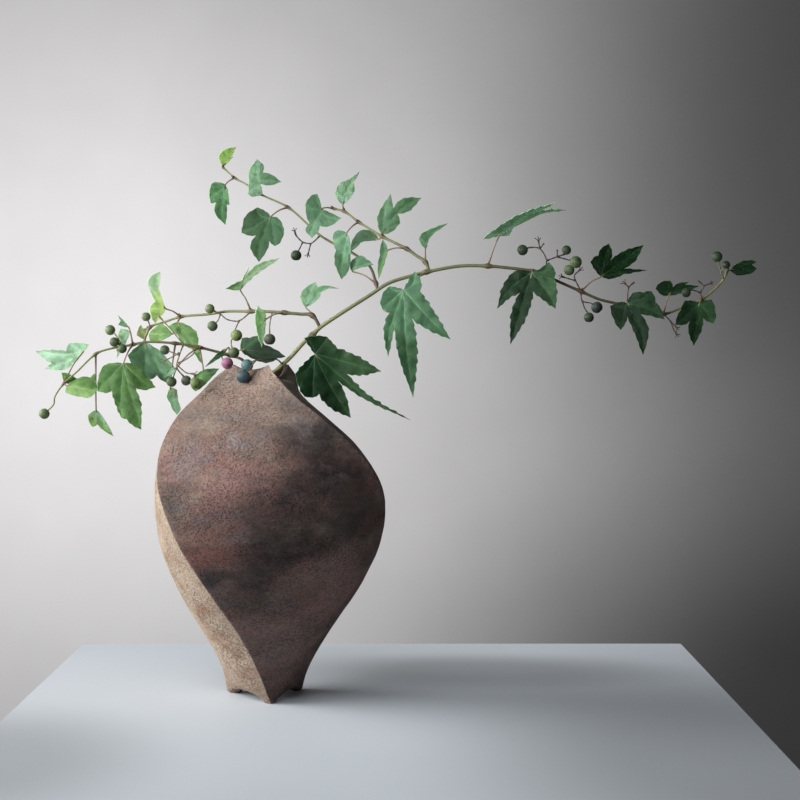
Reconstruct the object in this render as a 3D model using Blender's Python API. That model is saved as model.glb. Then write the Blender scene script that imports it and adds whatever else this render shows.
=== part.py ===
"""Two berried vine cuttings in a twisted three-sided stoneware vase.

The vase stands on three corner feet. A long cutting leaves the mouth over its right edge and forks
into a main stem, an upper shoot, a thin shoot and a left branch; a second, lower stem leaves over
the left corner. Leaves are thin toothed blades fused to their stem through a leaf stalk, and each
berry spray is one body of forking stalks and berries.

Frame: metres, +Z up, +X along the long arm, origin on the floor in the middle of the front foot. The
sizes and points below are counted from the vase's axis instead, and solid() moves them over.
"""
import math
from collections import namedtuple

import bmesh
import bpy
from mathutils import Vector, geometry

MM = 0.001
FRONT_FOOT = (5.0, -28.0, 0.0)   # middle of the front foot, from the vase's axis, millimetres

# Vase, millimetres and degrees
VASE_HEIGHT = 250.0
WALL = 5.0                 # wall thickness of the body
RIM_WALL = 3.4             # wall thickness at the lip
FLOOR_TOP = 14.0           # inside floor above the feet
RECESS = 7.0               # hollow under the floor
FOOT_WALL = 6.0            # width of the foot ring
FOOT_ARCH = 6.0            # height of the arch between two feet
RIM_SCOOPS = (3.5, 9.5, 6.0)   # dip of the lip between two peaks: front left, right, back
RIM_DEPTH = 13.0           # the last level ring lies this far below the peaks
THINNING = 50.0            # the wall thins to the lip over this height
CORNER_INSET = 1.6         # a corner moves in by this many times the wall, to keep the sides' wall even
FIRST_LEVEL = 9.0          # the first level ring of the outside, above the arches of the foot
# Height, corner distance from the axis, turn in degrees, bulge of a side, sideways lean of the axis
VASE_SECTIONS = [
    (0, 33.6, -9.6, 0.14, 0.0), (12, 36.3, -4.7, 0.21, -1.0), (30, 43.8, 3.2, 0.29, -1.7),
    (55, 58.2, 12.6, 0.34, -2.4), (85, 77.0, 22.4, 0.34, -3.4), (120, 91.0, 34.5, 0.34, -3.2),
    (160, 94.1, 49.7, 0.335, -0.5), (190, 82.9, 64.9, 0.257, 0.7), (212, 66.2, 77.0, 0.15, -0.5),
    (230, 46.8, 90.0, 0.06, -1.7), (240, 38.4, 98.0, 0.03, -1.9), (250, 27.0, 105.0, 0.0, -2.4)]
SIDE_STEPS = [0.0, 0.1, 0.22, 0.36, 0.5, 0.64, 0.78, 0.9]   # places along one side of a section
OUTER_RINGS = 24
INNER_RINGS = 20
WATER_TOP = 150.0
GAP = 0.3                  # clearance between touching pieces
WATER_INSET = 0.9          # gap between the water and the wall, wider because both are faceted
HOLE_CLEARANCE = 0.5       # round a stem in the water
HOLE_OVERRUN = 20.0        # the stem holes run this far past the stem's straight end
HOLE_SIDES = 10

# Plant, millimetres
BLADE = 0.8                # thickness of a leaf blade
CURL = 0.12                # how far a leaf tip bends back, as a share of its length
FOLD = 0.05                # how far a lobe's middle sinks, as a share of its length
LONG_LOBE = 15.0           # lobes longer than this are folded
FULLEST = 0.8              # below 1 a lobe's side is fullest nearer the notch than the tip
ROUNDNESS = 1.3            # above 1 it is drawn in at the notch and the tip
TOOTH_PITCH = 10.0
TOOTH_DEPTH = 0.8
TOOTH_POINT = 0.62         # a tooth's point, and the nick after it, as shares of the pitch
TOOTH_NICK = 0.80
NICK_DEPTH = 0.33
END_MARGIN = 0.4           # plain edge after the last tooth, as a share of the pitch
SHORT_EDGE = 4.0           # edges shorter than this stay straight
PLAIN_MARKS = (0.3, 0.7)   # points along an edge that is too short for teeth
FULLNESS_STEP = 0.7        # crossing lobes are made less full by this factor
LEAST_FULLNESS = 0.2
STALK_RADIUS = 0.65        # leaf stalks
STALK_ARCH = 0.08          # rise of a stalk's middle, as a share of its length
SHORT_STALK = 6.0          # stalks shorter than this are straight
STALK_REACH = 0.2          # how far a stalk runs on inside its blade, as a share of the blade
LEAST_REACH = 1.5          # and at least
SHARPEST_BEND = -0.3       # cosine of the sharpest turn a stalk takes into its blade
TWIG_RADIUS = 0.6          # berry stalks
STEM_SIDES = 6
STALK_SIDES = 4
BERRY_RINGS = 5
BERRY_SIDES = 8
FINEST = 0.01              # shorter edges left by a union are closed up

# The plant's points are given where the eye sees them on the plane through the vase's axis. place()
# carries each one along its line of sight to its own depth y.
EYE = (101.0, -1224.0, 264.0)

# root on the stem, base of the blade, slope of the blade's plane across and up, then its edge from
# the base round to the base: tips and notches in turn, across and up from the base, each with how far
# the side before it bows out
Leaf = namedtuple("Leaf", "root base slope edge")
# path of the stem, radius at its start and end, clear length at its start, leaves, berries on the stem
Shoot = namedtuple("Shoot", "name path start_radius end_radius clear leaves berries")
# clear length at its start, lines of stalk (the first starts on the stem), berries (x, y, z, radius)
Spray = namedtuple("Spray", "name clear lines berries")

MAIN_LEAVES = [
    Leaf((35, -7, 272), (37, -38, 258), (0.5, 0.1),
         [(-8, 12, 0), (-1, 13, 0.5), (9, 13, 0.5), (17, 4, 0), (50, -13, 1.5), (24, -15, 1.5),
          (72, -50, -3.5), (17, -20, 4), (27, -48, 3.2), (3, -30, 3), (-2, -33, 0.5), (-8, -32, 0),
          (-15, -15, 0.8), (0, 0, 0.5)]),
    Leaf((121, -20, 319), (104, -32, 306), (0.25, 0.35),
         [(8, 14, 0.5), (12, -1, 2.5), (35, -37, 0.5), (6, -21, 1.5), (7, -81, 3.3), (-7, -25, 5),
          (-12, -50, 0.3), (-11, -17, 3.5), (-16, -15, 0.3), (-17, -6, 1), (-11, 3, 1), (0, 0, 0.3)]),
    Leaf((167, -24, 324), (176, -20, 347), (0.2, -2.0),
         [(-13, -3, 0), (-3, 5, 0.3), (42, 25, 2.3), (28, 17, 0), (50, 19, 1.2), (13, 10, -2.5),
          (7, 0, -0.5), (0, 0, 0.3)]),
    Leaf((201, -22, 320), (200, -26, 319), (-0.2, 0.4),
         [(-6, 2, 0.3), (-13, 1, 0.3), (-26, -27, 3), (-9, -15, -1.5), (-16, -54, 3.2), (1, -14, 2.7),
          (18, -27, 0.2), (17, -4, 1.2), (13, 8, 2), (0, 0, -0.8)]),
    Leaf((237, -14, 305), (252, -8, 316), (0.3, -0.35),
         [(-8, 11, 0.5), (-2, 16, 1), (6, 25, 1.8), (7, 12, 1.7), (32, 24, 2), (17, 6, 2.5), (35, 5, 0),
          (17, 2, 0), (6, -2, 0.5), (0, 0, 0)]),
    Leaf((268, -5, 295), (272, -8, 296), (-0.2, 0.35),
         [(-13, -2, 1.8), (-10, -12, 0.7), (-5, -20, 0.7), (0, -10, 0.8), (12, -39, -0.5), (10, -8, 5),
          (28, -12, -0.5), (21, 1, 1.2), (18, 9, 0.8), (12, 8, 0.6), (4, 8, 0.6), (0, 0, 0.7)]),
    Leaf((299, 0, 288), (303, 8, 302), (0.2, 0.8),
         [(-10, 5, 2), (-7, 9, 0.5), (1, 11, 0.8), (3, 6, 0.5), (15, 10, 1.5), (12, 8, 0), (23, 7, 0),
          (0, 0, 1)]),
    Leaf((328, 5, 299), (326, -4, 296), (0.15, 0.3),
         [(-11, 2, 1), (-14, -5, 0.3), (-18, -16, 0.8), (-7, -13, 1.8), (-4, -32, 2.2), (3, -11, 1.5),
          (11, -15, 0.8), (12, -6, 1), (9, 3, 0.8), (0, 0, 0.8)]),
    Leaf((346, 8, 320), (349, 12, 321), (0.5, 0.9),
         [(7, 6, 0.5), (13, 7, 0.5), (20, 6, 0.8), (16, 4, 0), (20, 1, 0), (13, -3, 1), (5, -4, 0.4),
          (0, 0, 0.3)]),
]
UPPER_LEAVES = [
    Leaf((88, -2, 346), (87, -4, 348), (0.3, -0.4),
         [(7, 30, 5.5), (9, 19, 0), (30, 27, 4.3), (12, 15, 2.7), (14, 8, 0.5), (0, 0, 2.2)]),
    Leaf((106, -10, 337), (92, -14, 336), (0.2, 0.4),
         [(-7, -22, 0.3), (-6, -4, 1.2), (-4, 8, 0.8), (0, 0, 0.5)]),
    Leaf((120, -17, 327), (120, -22, 337), (0.4, -0.8),
         [(-5, 7, 0.5), (0, 13, 1), (17, 19, 0.3), (0, 0, -3)]),
    Leaf((70, 6, 357), (61, -2, 349), (-0.3, 0.3),
         [(-6, 2, 0.3), (-10, -1, 0.5), (-10, -7, 0.3), (-8, -13, 0.3), (-4, -35, 2.5), (2, -25, 1),
          (3, -15, 0.2), (0, 0, 0.8)]),
    Leaf((88, -2, 346), (85, -2, 344), (-0.5, 0.1),
         [(-6, -1, 0.3), (-13, -1, 0.3), (-21, -9, 0.8), (-18, 2, 1), (-13, 7, 0.5), (-9, 7, 0.3),
          (-5, 6, 0.3), (0, 0, 0.5)]),
    Leaf((59, 10, 365), (58, 8, 370), (0.2, -0.3),
         [(-6, 8, 0.8), (-1, 17, 0.8), (13, 25, -1.3), (8, 17, 0.3), (9, 10, 0.3), (0, 0, 1)]),
    Leaf((51, 12, 367), (42, 7, 367), (0.3, 0.3),
         [(15, -7, 0), (-1, -13, 2.5), (-7, -22, 1), (-9, -11, 3.8), (-12, 3, 0.9), (-9, 8, 0.5),
          (-3, 11, 1), (0, 0, 0.5)]),
]
THIN_LEAVES = [
    Leaf((83, -10, 311), (65, -4, 320), (-0.3, 0.3),
         [(-2, 6, 0.5), (2, 10, 0.3), (7, 12, 0.3), (11, 9, 0.3), (16, 5, 0.5), (0, 0, -1)]),
    Leaf((17, 28, 368), (4, 20, 361), (-0.2, 0.35),
         [(10, -9, 2.8), (8, -17, 0.7), (3, -22, 1), (-1, -18, 0.5), (-9, -34, 1.3), (-11, -14, 5),
          (-22, -12, 1), (-21, -7, 0.3), (-10, 7, 2.8), (0, 0, 1)]),
    Leaf((-5, 32, 378), (-4, 24, 386), (0.3, -0.2),
         [(2, -8, 0.3), (-4, -10, 0.3), (-9, -8, 0.8), (-8, 2, 0), (-2, 18, 2.5), (2, 8, 2.6), (16, 1, 1.5),
          (0, 0, 2)]),
    Leaf((-23, 36, 390), (-30, 34, 385), (1.0, 0.3),
         [(-8, 2, 0.5), (-11, -1, 0.5), (-11, -14, 1), (-7, -13, 0.3), (0, -30, 3.8), (1, -15, 0.3),
          (3, -15, 0), (0, 0, 0.8)]),
    Leaf((-32, 38, 398), (-31, 38, 399), (0.5, -0.5),
         [(-4, 6, 0.8), (-2, 10, 0.3), (9, 14, 1), (4, 6, 0.8), (7, 7, 0), (0, 0, 0.5)]),
]
LEFT_LEAVES = [
    Leaf((35, -4, 287), (30, -2, 293), (0.3, -0.3),
         [(-4, 8, 0.5), (-1, 14, 0.5), (8, 19, 0.5), (9, 15, 0), (25, 14, 1.7), (11, 12, -1.6),
          (11, 8, 0.3), (0, 0, 0.8)]),
    Leaf((-11, 8, 290), (-19, 6, 306), (0.2, -1.2),
         [(-11, 1, 0.3), (1, 7, 0.4), (7, 19, 0), (4, 9, 0), (30, 24, 4.3), (0, 0, -1.8)]),
    Leaf((14, 2, 289), (0, -8, 284), (1.2, 0.3),
         [(-3, -21, 0.6), (-8, 1, 0.8), (-6, 10, 0.5), (0, 0, 2)]),
    Leaf((-64, 16, 286), (-75, 12, 292), (0.4, -0.3),
         [(-8, -11, 0.5), (-11, -5, 0.5), (-12, 2, 0.3), (-8, 5, 0.3), (-14, 19, 0), (-13, 22, 0.2),
          (-4, 28, 1), (-7, 13, 1), (-4, 6, 0.3), (0, 0, 0.5)]),
    Leaf((-64, 16, 286), (-70, 8, 273), (0.2, 0.6),
         [(-12, -6, 0.5), (-17, -5, 0.3), (-18, 0, 0.3), (-14, 4, 0.3), (-8, 8, 0.5), (0, 0, 0.5)]),
    Leaf((-64, 16, 286), (-66, 10, 282), (-0.2, 0.4),
         [(-7, -3, 0.3), (0, -10, 0.3), (5, -18, 0.3), (10, -20, 0), (19, -33, 0), (15, -17, 0.5),
          (14, -7, 0.5), (0, 0, 1)]),
    Leaf((-87, 20, 278), (-91, 20, 269), (0.3, 0.3),
         [(-6, 3, 0.3), (-5, 7, 0.3), (-3, 11, 0.3), (-1, 8, 0.3), (4, 8, 0.3), (0, 0, 0.3)]),
    Leaf((-92, 22, 266), (-91, 4, 267), (-0.1, 0.2),
         [(-13, -10, 0.8), (-8, -19, 0.3), (1, -29, 0.8), (9, -25, 0.8), (17, -31, 0.8), (20, -25, 0),
          (24, -21, 0), (0, 0, 2)]),
]
LOW_LEAVES = [
    Leaf((-27, 5, 257), (-19, 4, 261), (-0.45, 0.3),
         [(1, 9, 0.3), (7, 9, 0.3), (14, 11, 0.3), (18, 4, 0), (34, -5, 0.8), (28, -6, 0.3),
          (19, -10, 0.8), (0, 0, 1.5)]),
    Leaf((-50, -4, 263), (-47, -12, 246), (0.2, 0.2),
         [(-10, -8, 0.5), (-9, -13, 0.3), (-6, -16, 0.3), (-1, -13, 0.3), (12, 1, 0.3), (0, 0, 0.5)]),
    Leaf((-68, -10, 266), (-72, -4, 233), (0.3, 0.4),
         [(-3, -7, 0.3), (0, -12, 0.2), (5, -21, 0.8), (8, -16, 0.3), (5, -2, -0.8), (0, 0, 0.3)]),
    Leaf((-100, -18, 265), (-103, -14, 278), (0.3, 0.2),
         [(-8, 2, 0.3), (-6, 5, 0), (-8, 9, 0.3), (0, 0, 0.5)]),
    Leaf((-100, -18, 265), (-102, -12, 275), (0.3, 0.2),
         [(-7, 2, 0.5), (-9, -3, 0.3), (-10, -20, 0.8), (0, 0, 0.8)]),
    Leaf((-100, -18, 265), (-107, -34, 251), (0.25, 0.35),
         [(-11, 0, 0.3), (-17, -5, 1), (-20, -21, 0.8), (-9, -21, 1), (-2, -41, 0.5), (2, -42, 0.2),
          (13, -50, 1), (6, -15, 3.5), (24, -18, 3.5), (15, -7, 0), (6, 0, 0.5), (0, 0, 0.3)]),
    Leaf((-128, -24, 258), (-128, -24, 216), (0.2, 0.4),
         [(-6, -4, 0.3), (-5, -10, 0.3), (-3, -13, 0.3), (1, -11, 0.3), (13, -20, 0.8), (8, -10, 0.3),
          (5, -5, 0), (0, 0, 0.3)]),
    Leaf((-152, -30, 236), (-150, -32, 234), (-0.2, 0.8),
         [(-1, -5, 0.3), (11, -8, 0.5), (24, -2, 3), (21, 3, 0.3), (22, 10, 0.3), (18, 6, 0.3),
          (12, 7, 0.3), (0, 0, 0.8)]),
    Leaf((-152, -30, 236), (-151, -27, 236), (0.4, -0.3),
         [(-3, 8, 0.5), (3, 7, 0.3), (13, 0, 0.3), (0, 0, 0.5)]),
    Leaf((-152, -30, 236), (-137, -14, 260), (-0.2, -0.3),
         [(4, 5, 0.2), (-3, 6, 0.2), (-11, 6, 0.3), (-13, 0, 0.5), (-36, 0, 0.8), (-24, -9, 0.5),
          (-29, -13, 0.3), (-16, -14, 0.3), (-8, -10, 0.5), (0, 0, 0.3)]),
]

# Straight lower ends of the two cuttings, inside the vase, and their radii
MAIN_FOOT = [(-40, 4, 58), (-26, -4, 165)]
LOW_FOOT = [(38, 2, 60), (16, 5, 175)]
MAIN_RADIUS = 2.0
LOW_RADIUS = 1.7

SHOOTS = [
    Shoot("main_stem",
          MAIN_FOOT + [(-13, -7, 205), (-2, -7, 232), (6, -5, 243.5), (11, -4, 248.5), (19, -4, 256),
                       (29, -6, 267), (35, -7, 272), (41, -8, 278), (59, -12, 290),
                       (78, -14, 302), (92, -16, 311), (107, -18, 316), (123, -20, 320),
                       (146, -22, 324), (167, -24, 324), (188, -23, 322), (201, -22, 320),
                       (214, -20, 315), (230, -16, 308), (237, -14, 305), (251, -11, 299),
                       (268, -5, 295), (285, -2, 290), (299, 0, 288), (311, 3, 292),
                       (328, 5, 299), (344, 8, 314), (348, 8, 326)],
          MAIN_RADIUS, 0.8, 0.0, MAIN_LEAVES, []),
    Shoot("upper_shoot",
          [(123, -20, 320), (120, -17, 327), (113, -13, 332), (106, -10, 337), (88, -2, 346),
           (70, 6, 357), (59, 10, 365), (51, 12, 367)], 1.2, 0.7, 1.9, UPPER_LEAVES, []),
    Shoot("thin_shoot",
          [(84, -15, 306), (83, -10, 311), (78, 2, 324), (65, 12, 334), (51, 18, 341), (41, 20, 347),
           (32, 24, 355), (17, 28, 368), (-4, 32, 378), (-14, 34, 385), (-23, 36, 390),
           (-32, 38, 398)], 1.1, 0.6, 1.9, THIN_LEAVES, []),
    Shoot("left_branch",
          [(41, -8, 278), (35, -4, 287), (26, -1, 288), (14, 2, 289), (-1, 6, 290), (-11, 8, 290),
           (-29, 12, 290), (-42, 13, 288), (-64, 16, 286), (-76, 18, 282), (-87, 20, 278),
           (-92, 22, 266)], 1.3, 0.8, 1.9, LEFT_LEAVES, []),
    Shoot("low_stem",
          LOW_FOOT + [(6, 6, 213), (-6, 6, 237), (-17, 5, 253), (-27, 5, 257), (-38, 2, 260),
                      (-50, -4, 263), (-68, -10, 266), (-90, -16, 267), (-100, -18, 265),
                      (-117, -22, 262), (-128, -24, 258), (-143, -28, 244), (-152, -30, 236),
                      (-159, -32, 226), (-160, -32, 220), (-166, -32, 214)],
          LOW_RADIUS, 0.6, 0.0, LOW_LEAVES, [(-167, -32, 213, 3.9)]),
]

SPRAYS = [
    Spray("spray_thin_shoot", 1.2,
          [[(41, 20, 347), (37, 19, 343), (34, 19, 341), (28, 20, 342), (23, 20, 347), (22, 20, 350)],
           [(28, 20, 342), (25, 20, 336), (23, 20, 334)], [(34, 19, 341), (32, 18, 333)]],
          [(23, 20, 332, 4.1)]),
    Spray("spray_main_a", 1.5,
          [[(208, -21, 317.5), (211, -18, 328), (206, -16, 337), (199, -15, 338), (195, -14, 337)],
           [(206, -16, 337), (205, -17, 343)], [(206, -16, 337), (209, -15, 341)],
           [(211, -18, 328), (219, -16, 331), (225, -13, 333)], [(219, -16, 331), (219, -14, 336)],
           [(219, -16, 331), (231, -14, 327), (229, -11, 324)]],
          [(193, -14, 336, 4.0), (226, -12, 336, 3.5), (233, -17, 327, 4.5), (228, -10, 321, 4.0)]),
    Spray("spray_main_b", 2.8,
          [[(237, -14, 305), (233, -15, 313), (232, -16, 317), (236, -17, 321)],
           [(233, -15, 313), (223, -18, 316)]], []),
    Spray("spray_main_c", 2.2,
          [[(237, -14, 305), (238, -13, 298), (245, -14, 296), (248, -14, 294)],
           [(238, -13, 298), (240, -12, 292), (243, -12, 288)]],
          [(249, -14, 293, 4.3), (243, -12, 285.5, 3.8)]),
    Spray("spray_main_d", 1.5,
          [[(272, -4.3, 293.8), (272, 0, 301), (273, 1, 308), (277, 2, 312)],
           [(273, 1, 308), (270, 0, 311)]], []),
    Spray("spray_main_e", 1.4,
          [[(299, 0, 288), (304, -4, 283), (307, -5, 276), (309, -5, 273)],
           [(304, -4, 283), (309, -5, 278)]], []),
    Spray("spray_main_f", 1.8,
          [[(328, 5, 299), (327, 6, 304), (329, 6, 309), (325, 7, 313)], [(329, 6, 309), (334, 6, 311)],
           [(327, 6, 304), (321, 4, 306), (318, 2, 305)]],
          [(316, 2, 304, 3.5)]),
    Spray("spray_tip", 2.7,
          [[(344, 8, 314), (342, 7, 320), (340, 7, 327), (339, 7, 329)], [(342, 7, 320), (346, 3, 324)]],
          [(339, 8, 331, 4.1), (346, 2, 325, 3.0)]),
    Spray("spray_left_a", 2.1,
          [[(-11, 8, 290), (-20, 4, 283), (-29, 2, 284), (-34, 1, 288), (-40, 0, 291)],
           [(-34, 1, 288), (-36, 2, 283), (-39, 2, 280)], [(-20, 4, 283), (-23, -2, 276), (-23, -5, 273)],
           [(-23, -2, 276), (-26, -6, 267), (-25, -8, 261)]],
          [(-42, 0, 292, 3.6), (-40, 2, 279, 3.9), (-22, -6, 272, 4.3), (-24, -8, 259, 4.1)]),
    Spray("spray_left_b", 2.0,
          [[(5, 5, 290), (3, 3, 280), (3, 2, 272)]], [(3, 2, 269, 4.3)]),
    Spray("spray_left_c", 1.4,
          [[(-87, 20, 278), (-88, 16, 282), (-90, 12, 285)]], [(-90, 12, 286, 3.5)]),
    Spray("spray_mouth_left", 2.6,
          [[(-27, 5, 257), (-32, -2, 257), (-33, -9, 255), (-30, -13, 252)]], [(-29, -15, 251, 4.4)]),
    Spray("spray_mouth_front", 2.4,
          [[(13, -4, 250), (8, -12, 254), (0, -20, 254), (-8, -23, 253), (-13, -21, 251)],
           [(-8, -23, 253), (-12, -24, 247), (-16, -23, 243)]],
          [(-14, -20, 249.5, 4.5), (-17, -22, 241, 5.0)]),
    Spray("spray_low_a", 1.7,
          [[(-62, -8, 265), (-65, -14, 257), (-67, -13, 248), (-61, -10, 240)],
           [(-65, -14, 257), (-75, -10, 261)], [(-67, -13, 248), (-70, -13, 240)]],
          [(-76, -9, 261, 3.6), (-71, -13, 237, 3.8), (-60, -9, 238, 3.8)]),
    Spray("spray_low_b", 1.2,
          [[(-108, -20, 264), (-112, -20, 271), (-115, -18, 275)]], [(-117, -17, 276, 3.8)]),
]


def clear_scene():
    for item in list(bpy.data.objects):
        bpy.data.objects.remove(item, do_unlink=True)


def place(point):
    """A point of the vase's mid plane, carried along its line of sight to its own depth."""
    x, y, z = point
    share = (y - EYE[1]) / -EYE[1]
    return Vector((EYE[0] + (x - EYE[0]) * share, y, EYE[2] + (z - EYE[2]) * share)) * MM


def paint(name, colour, roughness, alpha=1.0):
    material = bpy.data.materials.new(name)
    material.use_nodes = True
    shader = material.node_tree.nodes["Principled BSDF"]
    shader.inputs["Base Color"].default_value = (*colour, 1.0)
    shader.inputs["Roughness"].default_value = roughness
    shader.inputs["Metallic"].default_value = 0.0
    shader.inputs["Alpha"].default_value = alpha
    return material


def solid(name, mesh_maker, material, collection=None):
    """A new object from a bmesh, with its faces pointing out, counted from the front foot."""
    bmesh.ops.translate(mesh_maker, verts=mesh_maker.verts, vec=Vector(FRONT_FOOT) * -MM)
    mesh_maker.normal_update()
    bmesh.ops.recalc_face_normals(mesh_maker, faces=mesh_maker.faces)
    mesh = bpy.data.meshes.new(name)
    mesh_maker.to_mesh(mesh)
    mesh_maker.free()
    mesh.materials.append(material)
    item = bpy.data.objects.new(name, mesh)
    (collection or bpy.context.scene.collection).objects.link(item)
    return item


# Vase

def vase_row(height):
    """Corner distance, turn, bulge and lean at a height, on a smooth curve through the sections."""
    rows = VASE_SECTIONS
    i = max(k for k in range(len(rows) - 1) if rows[k][0] <= height or k == 0)
    before, low, high, after = rows[max(i - 1, 0)], rows[i], rows[i + 1], rows[min(i + 2, len(rows) - 1)]
    span = high[0] - low[0]
    t = (height - low[0]) / span
    values = []
    for k in range(1, 5):
        slope_low = (high[k] - before[k]) / (high[0] - before[0])
        slope_high = (after[k] - low[k]) / (after[0] - low[0])
        values.append((2 * t ** 3 - 3 * t ** 2 + 1) * low[k] + (t ** 3 - 2 * t ** 2 + t) * span * slope_low
                      + (3 * t ** 2 - 2 * t ** 3) * high[k] + (t ** 3 - t ** 2) * span * slope_high)
    return values


def section(height, inset=0.0):
    """Points of the three-sided section at a height, each with its step along its side and the side."""
    corner, turn, bulge, lean = vase_row(height)
    reach = corner - CORNER_INSET * inset
    corners = []
    for k in range(3):
        angle = math.radians(120 * k - turn)
        corners.append(Vector((reach * math.sin(angle), -reach * math.cos(angle))))
    points = []
    for k in range(3):
        start, end = corners[k], corners[(k + 1) % 3]
        outward = (start + end).normalized()
        for t in SIDE_STEPS:
            flat = start.lerp(end, t) + outward * (4 * t * (1 - t) * bulge * reach)
            points.append((flat.x + lean, flat.y, t, k))
    return points


def add_ring(mesh_maker, points, height):
    """One ring of vertices. height is a number or a function of the step and the side."""
    ring = []
    for x, y, t, side in points:
        z = height(t, side) if callable(height) else height
        ring.append(mesh_maker.verts.new(Vector((x, y, z)) * MM))
    return ring


def bridge(mesh_maker, first, second):
    count = len(first)
    for i in range(count):
        j = (i + 1) % count
        mesh_maker.faces.new((first[i], first[j], second[j]))
        mesh_maker.faces.new((first[i], second[j], second[i]))


def cap(mesh_maker, ring):
    """A fan over a ring, from its own middle."""
    middle = mesh_maker.verts.new(sum((v.co for v in ring), Vector()) / len(ring))
    for i in range(len(ring)):
        mesh_maker.faces.new((ring[i], ring[(i + 1) % len(ring)], middle))


def foot_height(t, side):
    """Underside of the foot ring: flat at each corner, arched between two corners."""
    flat = SIDE_STEPS[1]
    if t <= flat or t >= 1 - flat:
        return 0.0
    return FOOT_ARCH * math.sin(math.pi * (t - flat) / (1 - 2 * flat)) ** 0.5


def rim_height(t, side):
    return VASE_HEIGHT - RIM_SCOOPS[side] * 4 * t * (1 - t)


def wall_at(height):
    blend = min(max((height - VASE_HEIGHT) / THINNING + 1.0, 0.0), 1.0)
    return WALL + (RIM_WALL - WALL) * blend


def spread(low, high, count):
    return [low + (high - low) * k / (count - 1) for k in range(count)]


def make_vase():
    maker = bmesh.new()
    rings = [add_ring(maker, section(RECESS, FOOT_WALL), RECESS),
             add_ring(maker, section(0.0, FOOT_WALL), foot_height),
             add_ring(maker, section(0.0), foot_height)]
    for height in spread(FIRST_LEVEL, VASE_HEIGHT - RIM_DEPTH, OUTER_RINGS):
        rings.append(add_ring(maker, section(height), height))
    rings.append(add_ring(maker, section(VASE_HEIGHT), rim_height))
    rings.append(add_ring(maker, section(VASE_HEIGHT, RIM_WALL), rim_height))
    for height in reversed(spread(FLOOR_TOP, VASE_HEIGHT - RIM_DEPTH, INNER_RINGS)):
        rings.append(add_ring(maker, section(height, wall_at(height)), height))
    for first, second in zip(rings, rings[1:]):
        bridge(maker, first, second)
    cap(maker, rings[0])
    cap(maker, rings[-1])
    return solid("vase", maker, paint("stoneware", (0.33, 0.24, 0.21), 0.9))


def make_water(stem_paths):
    maker = bmesh.new()
    rings = []
    levels = [height for height in spread(FLOOR_TOP, VASE_HEIGHT - RIM_DEPTH, INNER_RINGS)
              if height < WATER_TOP]
    for height in [FLOOR_TOP + GAP] + levels[1:] + [WATER_TOP]:
        rings.append(add_ring(maker, section(height, wall_at(height) + WATER_INSET), height))
    for first, second in zip(rings, rings[1:]):
        bridge(maker, first, second)
    cap(maker, rings[0])
    cap(maker, rings[-1])
    water = solid("water", maker, paint("water", (0.8, 0.9, 0.9), 0.05, 0.35))
    for index, (path, radius) in enumerate(stem_paths):
        low, high = (place(point) for point in path)
        along = (high - low).normalized()
        drill = tube([low - along * (HOLE_CLEARANCE * MM), high + along * (HOLE_OVERRUN * MM)],
                     [(radius + HOLE_CLEARANCE) * MM] * 2, HOLE_SIDES)
        cutter = solid("stem_hole_%d" % (index + 1), drill, water.data.materials[0])
        cutter.hide_render = True
        cutter.display_type = "WIRE"
        cut = water.modifiers.new("stem_hole", "BOOLEAN")
        cut.operation = "DIFFERENCE"
        cut.solver = "EXACT"
        cut.object = cutter
    return water


# Plant

def tube(points, radii, sides):
    """A closed tube along a line of points, with flat ends."""
    maker = bmesh.new()
    rings = []
    across = None
    for i, point in enumerate(points):
        ahead = points[min(i + 1, len(points) - 1)] - points[max(i - 1, 0)]
        along = ahead.normalized()
        if across is None:
            across = along.orthogonal()
        across = (across - along * across.dot(along)).normalized()
        beside = along.cross(across)
        ring = []
        for k in range(sides):
            angle = 2 * math.pi * k / sides
            offset = across * math.cos(angle) + beside * math.sin(angle)
            ring.append(maker.verts.new(point + offset * radii[i]))
        rings.append(ring)
    for first, second in zip(rings, rings[1:]):
        for k in range(sides):
            j = (k + 1) % sides
            maker.faces.new((first[k], first[j], second[j], second[k]))
    maker.faces.new(rings[0][::-1])
    maker.faces.new(rings[-1])
    return maker


def clear_start(points, length):
    """The same line, begun a given length further on."""
    step = (points[1] - points[0]).normalized()
    return [points[0] + step * (length * MM)] + points[1:]


def toothed(start, end, outward, bow, towards_tip, fullness):
    """Points between two corners of a blade's edge: a bowed line with forward-pointing teeth."""
    length = (end - start).length
    count = int(length / TOOTH_PITCH)
    marks = [((k + share) / (count + END_MARGIN), height) for k in range(count)
             for share, height in ((TOOTH_POINT, TOOTH_DEPTH), (TOOTH_NICK, -NICK_DEPTH))]
    if not marks and length > SHORT_EDGE:
        marks = [(share, 0.0) for share in PLAIN_MARKS]
    points = []
    for t, height in marks:                 # from the notch to the tip
        swell = bow * math.sin(math.pi * t ** FULLEST) ** ROUNDNESS
        along = t if towards_tip else 1.0 - t
        points.append(start.lerp(end, along) + outward * ((swell + height) * fullness))
    return points if towards_tip else points[::-1]


def crosses_itself(edge):
    count = len(edge)
    for i in range(count - 1):
        for j in range(i + 2, count - (i == 0)):
            if geometry.intersect_line_line_2d(edge[i], edge[i + 1], edge[j], edge[(j + 1) % count]):
                return True
    return False


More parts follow.
